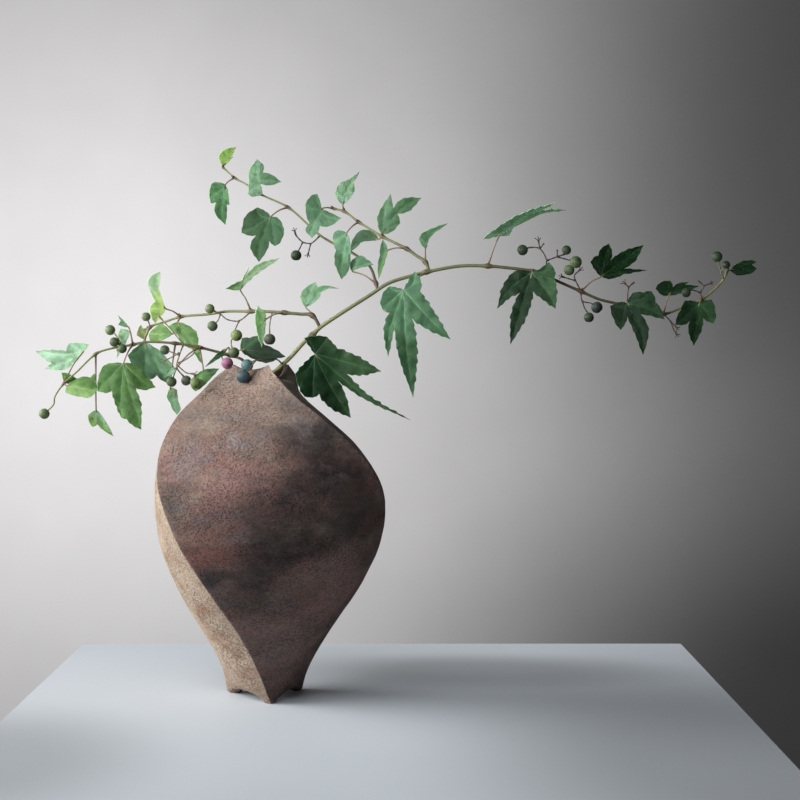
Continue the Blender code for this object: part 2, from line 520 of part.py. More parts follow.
def blade_edge(corners):
    """The whole edge of a blade: base, then toothed sides to each tip and notch in turn.

    Where the sides of neighbouring lobes would cross, all sides are made less full until they clear.
    """
    stops = [Vector((0.0, 0.0))] + [Vector(corner[:2]) for corner in corners]
    area = sum(a.x * b.y - b.x * a.y for a, b in zip(stops, stops[1:]))
    turn = 1.0 if area > 0 else -1.0
    fullness = 1.0
    while True:
        edge = []
        for i, (_, _, bow) in enumerate(corners):
            start, end = stops[i], stops[i + 1]
            ahead = (end - start).normalized()
            outward = Vector((ahead.y, -ahead.x)) * turn
            edge.append(start)
            edge += toothed(start, end, outward, bow, i % 2 == 0, fullness)
        if fullness < LEAST_FULLNESS or not crosses_itself(edge):
            return edge
        fullness *= FULLNESS_STEP


def leaf_tips(leaf):
    return [Vector(corner[:2]) for corner in leaf.edge[0::2]]


def make_blade(leaf, material, collection):
    """A thin toothed blade, curled back at its tips and folded a little along each lobe."""
    edge = blade_edge(leaf.edge)
    tips = leaf_tips(leaf)
    reach = max(tip.length for tip in tips)
    inner = [tip * 0.5 for tip in tips if tip.length > LONG_LOBE]
    loop = [(i, (i + 1) % len(edge)) for i in range(len(edge))]
    flat, _, faces, origin, _, _ = geometry.delaunay_2d_cdt(edge + inner, loop, [], 1, 1e-5)
    normal = Vector((leaf.slope[0], -1.0, leaf.slope[1])).normalized()
    maker = bmesh.new()
    front, back = [], []
    for number, spot in enumerate(flat):
        away = spot.length
        depth = leaf.base[1] + leaf.slope[0] * spot.x + leaf.slope[1] * spot.y + CURL * away ** 2 / reach
        if origin[number] and min(origin[number]) >= len(edge):
            depth += FOLD * away
        seat = place((leaf.base[0] + spot.x, depth, leaf.base[2] + spot.y))
        front.append(maker.verts.new(seat + normal * (BLADE / 2 * MM)))
        back.append(maker.verts.new(seat - normal * (BLADE / 2 * MM)))
    sides = {}
    for face in faces:
        maker.faces.new([front[i] for i in face])
        maker.faces.new([back[i] for i in reversed(face)])
        for i, j in zip(face, face[1:] + face[:1]):
            sides[(i, j)] = sides.get((i, j), 0) + 1
    for i, j in sides:
        if (j, i) not in sides:
            maker.faces.new((front[j], front[i], back[i], back[j]))
    loose = [v for v in maker.verts if not v.link_faces]
    bmesh.ops.delete(maker, geom=loose, context="VERTS")
    return solid("blade", maker, material, collection)


def leaf_stalk(leaf, material, collection):
    """From the middle of the stem to a little way inside the blade."""
    root, base = place(leaf.root), place(leaf.base)
    tips = leaf_tips(leaf)
    middle = sum(tips, Vector((0.0, 0.0))) / len(tips)
    step = middle * max(STALK_REACH, LEAST_REACH / middle.length)
    inside = place((leaf.base[0] + step.x, leaf.base[1] + leaf.slope[0] * step.x + leaf.slope[1] * step.y,
                    leaf.base[2] + step.y))
    length = (base - root).length
    bend = root.lerp(base, 0.5) + Vector((0.0, 0.0, STALK_ARCH * length))
    points = [root, bend, base] if length > SHORT_STALK * MM else [root, base]
    if (base - points[-2]).normalized().dot((inside - base).normalized()) > SHARPEST_BEND:
        points.append(inside)
    radii = [STALK_RADIUS * MM] * len(points)
    return solid("stalk", tube(points, radii, STALK_SIDES), material, collection)


def make_berry(x, y, z, radius, material, collection):
    maker = bmesh.new()
    bmesh.ops.create_uvsphere(maker, u_segments=BERRY_SIDES, v_segments=BERRY_RINGS, radius=radius * MM)
    bmesh.ops.translate(maker, verts=maker.verts, vec=place((x, y, z)))
    return solid("berry", maker, material, collection)


def tidy_mesh(mesh):
    """Welds points nearer than the finest detail and drops the slivers between them."""
    maker = bmesh.new()
    maker.from_mesh(mesh)
    bmesh.ops.triangulate(maker, faces=maker.faces)
    bmesh.ops.dissolve_degenerate(maker, dist=FINEST * MM, edges=maker.edges)
    bmesh.ops.triangulate(maker, faces=maker.faces)
    maker.to_mesh(mesh)
    maker.free()
    return mesh


def fuse(host, collection):
    """Joins everything in the collection to the host, which keeps its name."""
    join = host.modifiers.new("join", "BOOLEAN")
    join.operation = "UNION"
    join.operand_type = "COLLECTION"
    join.collection = collection
    join.solver = "EXACT"
    depsgraph = bpy.context.evaluated_depsgraph_get()
    joined = bpy.data.meshes.new_from_object(host.evaluated_get(depsgraph))
    host.modifiers.clear()
    host.data = tidy_mesh(joined)
    for item in list(collection.objects):
        bpy.data.objects.remove(item, do_unlink=True)
    bpy.data.collections.remove(collection)


def new_group(name):
    group = bpy.data.collections.new(name)
    bpy.context.scene.collection.children.link(group)
    return group


def make_shoot(shoot, leaf_green):
    points = [place(point) for point in shoot.path]
    if shoot.clear:
        points = clear_start(points, shoot.clear)
    share = [k / (len(points) - 1) for k in range(len(points))]
    radii = [(shoot.start_radius + (shoot.end_radius - shoot.start_radius) * t) * MM for t in share]
    stem = solid(shoot.name, tube(points, radii, STEM_SIDES), leaf_green)
    group = new_group(shoot.name + "_parts")
    for leaf in shoot.leaves:
        make_blade(leaf, leaf_green, group)
        leaf_stalk(leaf, leaf_green, group)
    for berry in shoot.berries:
        make_berry(*berry, leaf_green, group)
    fuse(stem, group)
    return stem


def make_spray(spray, twig_brown):
    lines = [[place(point) for point in line] for line in spray.lines]
    first = clear_start(lines[0], spray.clear)
    stalk = solid(spray.name, tube(first, [TWIG_RADIUS * MM] * len(first), STALK_SIDES), twig_brown)
    group = new_group(spray.name + "_parts")
    for line in lines[1:]:
        solid("twig", tube(line, [TWIG_RADIUS * MM] * len(line), STALK_SIDES), twig_brown, group)
    for berry in spray.berries:
        make_berry(*berry, twig_brown, group)
    fuse(stalk, group)
    return stalk


def main():
    clear_scene()
    stand = bpy.data.objects.new("arrangement", None)
    bpy.context.scene.collection.objects.link(stand)
    leaf_green = paint("leaf_green", (0.07, 0.2, 0.08), 0.5)
    twig_brown = paint("berries_and_twigs", (0.2, 0.16, 0.09), 0.45)
    pieces = [make_vase(), make_water([(MAIN_FOOT, MAIN_RADIUS), (LOW_FOOT, LOW_RADIUS)])]
    pieces += [make_shoot(shoot, leaf_green) for shoot in SHOOTS]
    pieces += [make_spray(spray, twig_brown) for spray in SPRAYS]
    for piece in pieces:
        piece.parent = stand


main()
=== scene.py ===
"""Finished look of two berried vine cuttings in a twisted three-sided stoneware vase.

Every leafy stem and every berry spray gets one fine piece on the same points as its solid: toothed
leaves with sunken veins and raised ribs, bark with swollen joints, stalks, buds and berries. A few
fine stalks, three berries and two narrow leaves at the left are only here. The vase gets a smooth,
slightly uneven body. Colours differ from leaf to leaf and travel as point colours.
"""
import math
from collections import namedtuple

import bpy
import numpy as np
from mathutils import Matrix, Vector, geometry, noise


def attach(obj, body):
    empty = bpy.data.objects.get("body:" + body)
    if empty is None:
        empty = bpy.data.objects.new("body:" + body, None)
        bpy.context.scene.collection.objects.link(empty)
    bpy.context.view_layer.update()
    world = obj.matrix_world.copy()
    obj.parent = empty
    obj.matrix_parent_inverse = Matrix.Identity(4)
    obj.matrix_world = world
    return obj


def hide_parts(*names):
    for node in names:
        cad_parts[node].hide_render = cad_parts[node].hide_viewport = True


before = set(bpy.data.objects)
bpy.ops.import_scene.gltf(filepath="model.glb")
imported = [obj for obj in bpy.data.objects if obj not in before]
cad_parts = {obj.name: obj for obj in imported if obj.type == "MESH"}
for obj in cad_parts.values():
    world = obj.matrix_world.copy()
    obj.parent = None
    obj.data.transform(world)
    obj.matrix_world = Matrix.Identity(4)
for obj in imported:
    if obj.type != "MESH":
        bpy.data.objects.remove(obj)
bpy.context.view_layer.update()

MM = 0.001
TINY = 1e-9                      # as good as zero
SEED = 7
# Middle of the front foot, which is the origin. The sizes and points below are counted from the vase's
# axis instead, in millimetres, and are moved over when a mesh is finished
FRONT_FOOT = np.array((5.0, -28.0, 0.0))

# Camera: the eye stands in front of the vase and looks a little down
EYE = np.array((101.0, -1224.0, 264.0))
LENS = 73.17
SENSOR = 36.0
LOOK_DOWN = 1.902                          # degrees

# Vase, millimetres and degrees
VASE_HEIGHT = 250.0
WALL = 5.0
RIM_WALL = 3.4
FLOOR_TOP = 14.0
RECESS = 7.0
FOOT_WALL = 6.0
FOOT_ARCH = 6.0
FLAT_CORNER = 0.1                # share of a side that stands on the floor at each foot
RIM_SCOOPS = (3.5, 9.5, 6.0)
RIM_DEPTH = 13.0
THINNING = 50.0
CORNER_INSET = 1.6
FIRST_LEVEL = 9.0
EDGE_ROUND = 1.2                 # softened edges of the lip and the foot
SIDE_POINTS = 44                 # points along one side of the section
CORNER_PACKING = 0.75            # how much closer they lie near the corners, from 0 to 1
OUTER_RINGS = 120
INNER_RINGS = 40
RIM_RINGS = 4                    # between the highest level ring and the lip
LIP_STEP = 0.3                   # where the middle ring of a softened edge lies, as a share of it
PALE_AND_LIT_SIDE = 2                    # the side left of the front ridge is paler than the others, partly in its clay and partly as painted light from the lamp at the left
SOFTENING = 2                    # rounds of smoothing along each ring, for the worn ridges
# Height, corner distance from the axis, turn in degrees, bulge of a side, sideways lean of the axis
VASE_SECTIONS = [
    (0, 33.6, -9.6, 0.14, 0.0), (12, 36.3, -4.7, 0.21, -1.0), (30, 43.8, 3.2, 0.29, -1.7),
    (55, 58.2, 12.6, 0.34, -2.4), (85, 77.0, 22.4, 0.34, -3.4), (120, 91.0, 34.5, 0.34, -3.2),
    (160, 94.1, 49.7, 0.335, -0.5), (190, 82.9, 64.9, 0.257, 0.7), (212, 66.2, 77.0, 0.15, -0.5),
    (230, 46.8, 90.0, 0.06, -1.7), (240, 38.4, 98.0, 0.03, -1.9), (250, 27.0, 105.0, 0.0, -2.4)]
UNEVEN = ((28.0, 0.45), (9.0, 0.16), (3.2, 0.07))   # hand-built unevenness: size and height

# Leaves, millimetres
BLADE = 0.42                     # thickness
MESH_STEP = 1.9                  # distance between points inside a blade
ROW_STEP = 0.87                  # distance between their rows, as a share of it
LINE_GAP = 0.5                   # how far they keep from the edge and the veins, as a share of it
CURL = 0.12                      # how far a leaf tip bends back, as a share of its length
FULLEST = 0.8                    # below 1 a lobe's side is fullest nearer the notch than the tip
ROUNDNESS = 1.3                  # above 1 it is drawn in at the notch and the tip
TOOTH_PITCH = 7.4
TOOTH_DEPTH = 0.9                # on a large leaf
TOOTH_FADE = 3.5                 # the larger, the further the teeth reach towards the tip
TOOTH_SPREAD = 0.35              # how much the teeth differ
TOOTH_VARIETY = (3.1, 2.4)       # and how fast, with the side's place and from tooth to tooth
TOOTH_SHAPE = ((0.12, 0.0), (0.4, 0.55), (0.68, 1.0), (0.84, 0.75), (0.93, 0.1))   # one tooth's outline
END_MARGIN = 0.6
SHORT_EDGE = 4.0
FULLNESS_STEP = 0.75
FULLNESS_ROUNDS = 14
VEIN_DEPTH = 1.5                 # how far the main veins lie below the blade between them
VEIN_WIDTH = 3.5
VEIN_END = 0.97                  # how far along its lobe a main vein runs
VEIN_POINTS = 4                  # and how many points it has at least
NO_VEIN = 1e6                    # distance that stands for a blade without main veins
MERGED = 1e-4                    # points of a blade nearer than this are one
WAVE = 1.3                       # height of the waves along a blade's margin
WAVE_LENGTH = 13.0
WAVE_ROOM = 8.0                  # the waves have their full height this far from a main vein
LAST_PHASE = 6.28                # the waves of a leaf start anywhere from 0 to this
CRUMPLE = ((11.0, 0.9), (4.5, 0.3))   # uneven hollows: size and height
QUILT = 0.5                      # swelling between two side veins
QUILT_ROOM = 2.0                 # and how far from a main vein it is full
SIDE_VEIN_PITCH = 5.4
SIDE_VEIN_SLANT = 0.9            # how far a side vein runs along its rib for each step away from it
SIDE_VEIN_REACH = 30.0           # it ends this far from its rib, or earlier at the edge
SIDE_VEIN_SHARE = 0.9            # or where a main rib is nearer than this share of the way so far
BARE_TIP = 1.5                   # the end of a rib without side veins
MAIN_RIB = (0.5, 0.22)           # radius of a main rib at its root and its tip
SIDE_RIB = (0.27, 0.2)
RIB_SIDES = 4
RIB_FAR_TONE = 0.25              # share of the far face's tone in a rib's
RIB_LIGHTER = 0.45               # how much lighter the blade is along its main veins
RIB_BAND = 0.9                   # half width of the lighter band on a large leaf
FURROW_PAINTED_SHADE = 0.2               # painted shade: how much darker the blade is in the furrows along its side veins
TONE_BLEND = 0.3                 # how gradually a leaf's two tones meet, as a share of its length
SHORT_LOBE = 7.0                 # lobes shorter than this have no rib of their own
LARGE_LEAF = 65.0                # teeth, folds and ribs have their full size on a leaf of this length
LEAST_SIZE = 0.35                # and this share of it on the smallest ones

# Stems, stalks and berries, millimetres
STEP = 1.6                       # distance between rings of a stem
STEM_SIDES = 12
STALK_SIDES = 8
TWIG_SIDES = 7
STALK_RADII = (0.8, 0.48, 0.6)
STALK_ARCH = 0.08
SHORT_STALK = 6.0
STALK_REACH = 0.2                # how far a stalk runs on inside its blade, as a share of the blade
LEAST_REACH = 1.5                # and at least
SHARPEST_BEND = -0.3
TWIG_RADIUS = 0.58
NODE_SWELL = 0.75                # how much thicker a stem is at a joint
NODE_LENGTH = 2.6
NODE_TONE = 0.75                 # share of the darker tone at a joint
BUD = (3.2, 1.0)                 # length and radius
BUD_RINGS = 7
BUD_START = 0.25                 # where its swelling begins, as a share of a half wave
BUD_FULLNESS = 0.8               # below 1 it is fuller than the wave
BUD_RISE = 0.9                   # how much more a bud points up than its stalk
TWIG_STEP = 0.6                  # distance between rings of a twig, as a share of STEP
TWIG_END = 0.12                  # length of a twig's thicker ends, as a share of its own
TWIG_SWELL = (0.85, 0.55, 0.12)  # shares of its radius: between them, added by them, and its knobs
KNOB_TURN = 1.3                  # how fast the knobs follow each other, from ring to ring
TWIG_END_TONE = 0.4              # share of the darker tone at its ends
PEDICEL = 3.2                    # bare little stalks at the ends of a spray
PEDICEL_TURNS = (-0.8, 0.0, 0.8)
PEDICEL_RADIUS = 0.6             # as a share of a twig's
PEDICEL_LEAN = (-0.5, 0.5)       # how far one leans to the front or back
PEDICEL_SPREAD = (0.7, 1.1)      # and how its length differs, as shares
BERRY_NEAR = 6.0                 # a line of stalk with a berry or a fork this near has no bare ends
BERRY_SIDES = 24
BERRY_RINGS = 15
BERRY_DIMPLE = (0.1, 0.3)        # depth of the dimple at the far end as a share, and its width in radians
STALK_DIMPLE = (0.05, 0.35)      # and the same for the one at the stalk
BERRY_ENDS = (0.95, 0.9)         # how far the points at its stalk and its scar lie out, as shares
SCAR_WIDTH = 0.22                # radians
BLOOM = 0.05                     # share of a paler tone, doubled at the stalk and gone at the scar
HANGING = 0.5                    # a berry nearer than this to its stalk's end hangs straight down
PLAIN_SPECKS = 0.35              # how strongly the berries that aren't speckled show specks

# Colours as they look in daylight
TONES = {
    "night": (22, 42, 24), "deep": (34, 58, 37), "dark": (50, 78, 50), "moss": (64, 96, 67),
    "mid": (81, 111, 79), "green": (88, 120, 68), "teal": (92, 128, 98), "leek": (108, 144, 91),
    "jade": (108, 144, 110), "pale": (126, 162, 130), "lime": (134, 166, 106), "mint": (152, 188, 156),
    "frost": (184, 216, 178), "sprout": (190, 224, 140), "young": (140, 150, 100),
    "straw": (128, 128, 86), "olive": (88, 94, 58), "brown": (76, 66, 46), "joint": (72, 52, 38),
    "pink": (138, 116, 92), "twig": (62, 50, 38), "tan": (116, 104, 78), "scar": (30, 24, 20),
    "berry_green": (98, 112, 76), "berry_olive": (74, 86, 58), "berry_moss": (34, 44, 30),
    "berry_grey": (78, 80, 68), "berry_plum": (26, 22, 28), "berry_violet": (146, 94, 120),
    "berry_blue": (70, 98, 106), "berry_slate": (50, 64, 78), "berry_lime": (106, 120, 72),
}

# root on the stem, base of the blade, slope of the blade's plane across and up, its edge from the base
# round to the base (tips and notches in turn, across and up from the base, each with how far the side
# before it bows out), and its tones: one side, the other side, the direction from one to the other in
# degrees, how far along it from the base they meet, and the far face
# The two tones are partly the leaf's own colour and partly painted light: a darker half stands in for the
# shade of a fold, paler tones partly for sheen
Leaf = namedtuple("Leaf", "root base slope edge tones")
Side = namedtuple("Side", "start end outward bow")
# CAD node, path, radius at both ends, tones along the bark, leaves, berries on the stem
Shoot = namedtuple("Shoot", "name path start_radius end_radius bark leaves berries")
# CAD node, tone of its stalks, lines of stalk (the first starts on the stem), berries with their tones
Spray = namedtuple("Spray", "name bark lines berries")

MAIN_LEAVES = [
    Leaf((35, -7, 272), (37, -38, 258), (0.5, 0.1),
         [(-8, 12, 0), (-1, 13, 0.5), (9, 13, 0.5), (17, 4, 0), (50, -13, 1.5), (24, -15, 1.5),
          (72, -50, -3.5), (17, -20, 4), (27, -48, 3.2), (3, -30, 3), (-2, -33, 0.5), (-8, -32, 0),
          (-15, -15, 0.8), (0, 0, 0.5)], ("deep", "mid", 15, 13, "teal")),
    Leaf((121, -20, 319), (104, -32, 306), (0.25, 0.35),
         [(8, 14, 0.5), (12, -1, 2.5), (35, -37, 0.5), (6, -21, 1.5), (7, -81, 3.3), (-7, -25, 5),
          (-12, -50, 0.3), (-11, -17, 3.5), (-16, -15, 0.3), (-17, -6, 1), (-11, 3, 1), (0, 0, 0.3)],
         ("teal", "moss", -90, 35, "pale")),
    Leaf((167, -24, 324), (176, -20, 347), (0.2, -2.0),
         [(-13, -3, 0), (-3, 5, 0.3), (42, 25, 2.3), (28, 17, 0), (50, 19, 1.2), (13, 10, -2.5),
          (7, 0, -0.5), (0, 0, 0.3)], ("pale", "pale", 0, 11, "teal")),
    Leaf((201, -22, 320), (200, -26, 319), (-0.2, 0.4),
         [(-6, 2, 0.3), (-13, 1, 0.3), (-26, -27, 3), (-9, -15, -1.5), (-16, -54, 3.2), (1, -14, 2.7),
          (18, -27, 0.2), (17, -4, 1.2), (13, 8, 2), (0, 0, -0.8)], ("night", "dark", 20, 2, "teal")),
    Leaf((237, -14, 305), (252, -8, 316), (0.3, -0.35),
         [(-8, 11, 0.5), (-2, 16, 1), (6, 25, 1.8), (7, 12, 1.7), (32, 24, 2), (17, 6, 2.5), (35, 5, 0),
          (17, 2, 0), (6, -2, 0.5), (0, 0, 0)], ("night", "deep", 0, 10, "mid")),
    Leaf((268, -5, 295), (272, -8, 296), (-0.2, 0.35),
         [(-13, -2, 1.8), (-10, -12, 0.7), (-5, -20, 0.7), (0, -10, 0.8), (12, -39, -0.5), (10, -8, 5),
          (28, -12, -0.5), (21, 1, 1.2), (18, 9, 0.8), (12, 8, 0.6), (4, 8, 0.6), (0, 0, 0.7)],
         ("night", "deep", 45, 2, "mid")),
    Leaf((299, 0, 288), (303, 8, 302), (0.2, 0.8),
         [(-10, 5, 2), (-7, 9, 0.5), (1, 11, 0.8), (3, 6, 0.5), (15, 10, 1.5), (12, 8, 0), (23, 7, 0),
          (0, 0, 1)], ("night", "deep", -60, 0, "moss")),
    Leaf((328, 5, 299), (326, -4, 296), (0.15, 0.3),
         [(-11, 2, 1), (-14, -5, 0.3), (-18, -16, 0.8), (-7, -13, 1.8), (-4, -32, 2.2), (3, -11, 1.5),
          (11, -15, 0.8), (12, -6, 1), (9, 3, 0.8), (0, 0, 0.8)], ("night", "dark", 15, -2, "mid")),
    Leaf((346, 8, 320), (349, 12, 321), (0.5, 0.9),
         [(7, 6, 0.5), (13, 7, 0.5), (20, 6, 0.8), (16, 4, 0), (20, 1, 0), (13, -3, 1), (5, -4, 0.4),
          (0, 0, 0.3)], ("deep", "deep", 0, 8, "mid")),
]
UPPER_LEAVES = [
    Leaf((88, -2, 346), (87, -4, 348), (0.3, -0.4),
         [(7, 30, 5.5), (9, 19, 0), (30, 27, 4.3), (12, 15, 2.7), (14, 8, 0.5), (0, 0, 2.2)],
         ("pale", "jade", -30, 0, "moss")),
    Leaf((106, -10, 337), (92, -14, 336), (0.2, 0.4),
         [(-7, -22, 0.3), (-6, -4, 1.2), (-4, 8, 0.8), (0, 0, 0.5)], ("teal", "leek", -30, 0, "mid")),
    Leaf((120, -17, 327), (120, -22, 337), (0.4, -0.8),
         [(-5, 7, 0.5), (0, 13, 1), (17, 19, 0.3), (0, 0, -3)], ("pale", "pale", 75, 8, "moss")),
    Leaf((70, 6, 357), (61, -2, 349), (-0.3, 0.3),
         [(-6, 2, 0.3), (-10, -1, 0.5), (-10, -7, 0.3), (-8, -13, 0.3), (-4, -35, 2.5), (2, -25, 1),
          (3, -15, 0.2), (0, 0, 0.8)], ("moss", "teal", 45, -15, "dark")),
    Leaf((88, -2, 346), (85, -2, 344), (-0.5, 0.1),
         [(-6, -1, 0.3), (-13, -1, 0.3), (-21, -9, 0.8), (-18, 2, 1), (-13, 7, 0.5), (-9, 7, 0.3),
          (-5, 6, 0.3), (0, 0, 0.5)], ("moss", "dark", 0, -14, "teal")),
    Leaf((59, 10, 365), (58, 8, 370), (0.2, -0.3),
         [(-6, 8, 0.8), (-1, 17, 0.8), (13, 25, -1.3), (8, 17, 0.3), (9, 10, 0.3), (0, 0, 1)],
         ("mint", "pale", 0, 8, "moss")),
    Leaf((51, 12, 367), (42, 7, 367), (0.3, 0.3),
         [(15, -7, 0), (-1, -13, 2.5), (-7, -22, 1), (-9, -11, 3.8), (-12, 3, 0.9), (-9, 8, 0.5),
          (-3, 11, 1), (0, 0, 0.5)], ("teal", "pale", -75, 6, "teal")),
]
THIN_LEAVES = [
    Leaf((83, -10, 311), (65, -4, 320), (-0.3, 0.3),
         [(-2, 6, 0.5), (2, 10, 0.3), (7, 12, 0.3), (11, 9, 0.3), (16, 5, 0.5), (0, 0, -1)],
         ("jade", "teal", 60, 7, "moss")),
    Leaf((17, 28, 368), (4, 20, 361), (-0.2, 0.35),
         [(10, -9, 2.8), (8, -17, 0.7), (3, -22, 1), (-1, -18, 0.5), (-9, -34, 1.3), (-11, -14, 5),
          (-22, -12, 1), (-21, -7, 0.3), (-10, 7, 2.8), (0, 0, 1)], ("dark", "moss", 0, -2, "teal")),
    Leaf((-5, 32, 378), (-4, 24, 386), (0.3, -0.2),
         [(2, -8, 0.3), (-4, -10, 0.3), (-9, -8, 0.8), (-8, 2, 0), (-2, 18, 2.5), (2, 8, 2.6), (16, 1, 1.5),
          (0, 0, 2)], ("mint", "pale", 0, 0, "moss")),
    Leaf((-23, 36, 390), (-30, 34, 385), (1.0, 0.3),
         [(-8, 2, 0.5), (-11, -1, 0.5), (-11, -14, 1), (-7, -13, 0.3), (0, -30, 3.8), (1, -15, 0.3),
          (3, -15, 0), (0, 0, 0.8)], ("pale", "mint", 75, -15, "mid")),
    Leaf((-32, 38, 398), (-31, 38, 399), (0.5, -0.5),
         [(-4, 6, 0.8), (-2, 10, 0.3), (9, 14, 1), (4, 6, 0.8), (7, 7, 0), (0, 0, 0.5)],
         ("sprout", "sprout", 0, 0, "green")),
]
LEFT_LEAVES = [
    Leaf((35, -4, 287), (30, -2, 293), (0.3, -0.3),
         [(-4, 8, 0.5), (-1, 14, 0.5), (8, 19, 0.5), (9, 15, 0), (25, 14, 1.7), (11, 12, -1.6),
          (11, 8, 0.3), (0, 0, 0.8)], ("mint", "mint", 0, 8, "moss")),
    Leaf((-11, 8, 290), (-19, 6, 306), (0.2, -1.2),
         [(-11, 1, 0.3), (1, 7, 0.4), (7, 19, 0), (4, 9, 0), (30, 24, 4.3), (0, 0, -1.8)],
         ("leek", "frost", -15, -2, "moss")),
    Leaf((14, 2, 289), (0, -8, 284), (1.2, 0.3),
         [(-3, -21, 0.6), (-8, 1, 0.8), (-6, 10, 0.5), (0, 0, 2)], ("frost", "frost", 0, -4, "mid")),
    Leaf((-64, 16, 286), (-75, 12, 292), (0.4, -0.3),
         [(-8, -11, 0.5), (-11, -5, 0.5), (-12, 2, 0.3), (-8, 5, 0.3), (-14, 19, 0), (-13, 22, 0.2),
          (-4, 28, 1), (-7, 13, 1), (-4, 6, 0.3), (0, 0, 0.5)], ("frost", "sprout", -30, -12, "leek")),
    Leaf((-64, 16, 286), (-70, 8, 273), (0.2, 0.6),
         [(-12, -6, 0.5), (-17, -5, 0.3), (-18, 0, 0.3), (-14, 4, 0.3), (-8, 8, 0.5), (0, 0, 0.5)],
         ("lime", "leek", 0, -8, "leek")),
    Leaf((-64, 16, 286), (-66, 10, 282), (-0.2, 0.4),
         [(-7, -3, 0.3), (0, -10, 0.3), (5, -18, 0.3), (10, -20, 0), (19, -33, 0), (15, -17, 0.5),
          (14, -7, 0.5), (0, 0, 1)], ("leek", "green", 45, -5, "teal")),
    Leaf((-87, 20, 278), (-91, 20, 269), (0.3, 0.3),
         [(-6, 3, 0.3), (-5, 7, 0.3), (-3, 11, 0.3), (-1, 8, 0.3), (4, 8, 0.3), (0, 0, 0.3)],
         ("young", "young", 0, 0, "young")),
    Leaf((-92, 22, 266), (-91, 4, 267), (-0.1, 0.2),
         [(-13, -10, 0.8), (-8, -19, 0.3), (1, -29, 0.8), (9, -25, 0.8), (17, -31, 0.8), (20, -25, 0),
          (24, -21, 0), (0, 0, 2)], ("moss", "jade", 30, -4, "teal")),
]
LOW_LEAVES = [
    Leaf((-27, 5, 257), (-19, 4, 261), (-0.45, 0.3),
         [(1, 9, 0.3), (7, 9, 0.3), (14, 11, 0.3), (18, 4, 0), (34, -5, 0.8), (28, -6, 0.3),
          (19, -10, 0.8), (0, 0, 1.5)], ("moss", "night", -60, 0, "mid")),
    Leaf((-50, -4, 263), (-47, -12, 246), (0.2, 0.2),
         [(-10, -8, 0.5), (-9, -13, 0.3), (-6, -16, 0.3), (-1, -13, 0.3), (12, 1, 0.3), (0, 0, 0.5)],
         ("leek", "mid", 45, 1, "teal")),
    Leaf((-68, -10, 266), (-72, -4, 233), (0.3, 0.4),
         [(-3, -7, 0.3), (0, -12, 0.2), (5, -21, 0.8), (8, -16, 0.3), (5, -2, -0.8), (0, 0, 0.3)],
         ("mint", "frost", 60, -5, "jade")),
    Leaf((-100, -18, 265), (-103, -14, 278), (0.3, 0.2),
         [(-8, 2, 0.3), (-6, 5, 0), (-8, 9, 0.3), (0, 0, 0.5)], ("jade", "jade", 0, -4, "teal")),
    Leaf((-100, -18, 265), (-102, -12, 275), (0.3, 0.2),
         [(-7, 2, 0.5), (-9, -3, 0.3), (-10, -20, 0.8), (0, 0, 0.8)], ("frost", "mint", 0, -5, "jade")),
    Leaf((-100, -18, 265), (-107, -34, 251), (0.25, 0.35),
         [(-11, 0, 0.3), (-17, -5, 1), (-20, -21, 0.8), (-9, -21, 1), (-2, -41, 0.5), (2, -42, 0.2),
          (13, -50, 1), (6, -15, 3.5), (24, -18, 3.5), (15, -7, 0), (6, 0, 0.5), (0, 0, 0.3)],
         ("leek", "green", 30, -3, "pale")),
    Leaf((-128, -24, 258), (-128, -24, 216), (0.2, 0.4),
         [(-6, -4, 0.3), (-5, -10, 0.3), (-3, -13, 0.3), (1, -11, 0.3), (13, -20, 0.8), (8, -10, 0.3),
          (5, -5, 0), (0, 0, 0.3)], ("lime", "mint", 45, -3, "pale")),
    Leaf((-152, -30, 236), (-150, -32, 234), (-0.2, 0.8),
         [(-1, -5, 0.3), (11, -8, 0.5), (24, -2, 3), (21, 3, 0.3), (22, 10, 0.3), (18, 6, 0.3),
          (12, 7, 0.3), (0, 0, 0.8)], ("lime", "green", 75, 1, "pale")),
    Leaf((-152, -30, 236), (-151, -27, 236), (0.4, -0.3),
         [(-3, 8, 0.5), (3, 7, 0.3), (13, 0, 0.3), (0, 0, 0.5)], ("lime", "deep", -60, 0, "teal")),
    Leaf((-152, -30, 236), (-137, -14, 260), (-0.2, -0.3),
         [(4, 5, 0.2), (-3, 6, 0.2), (-11, 6, 0.3), (-13, 0, 0.5), (-36, 0, 0.8), (-24, -9, 0.5),
          (-29, -13, 0.3), (-16, -14, 0.3), (-8, -10, 0.5), (0, 0, 0.3)], ("mint", "mint", -45, -13, "leek")),
    Leaf((-27, 5, 257), (-28, -3, 263), (0.2, 0.2),
         [(-18, -15, 1.6), (0, 0, 1.6)], ("moss", "deep", 0, -9, "mid")),
    Leaf((-50, -4, 263), (-67, -15, 248), (0.2, 0.3),
         [(-11, -8, 2.4), (0, 0, 2.2)], ("jade", "mint", 0, -5, "mid")),
]

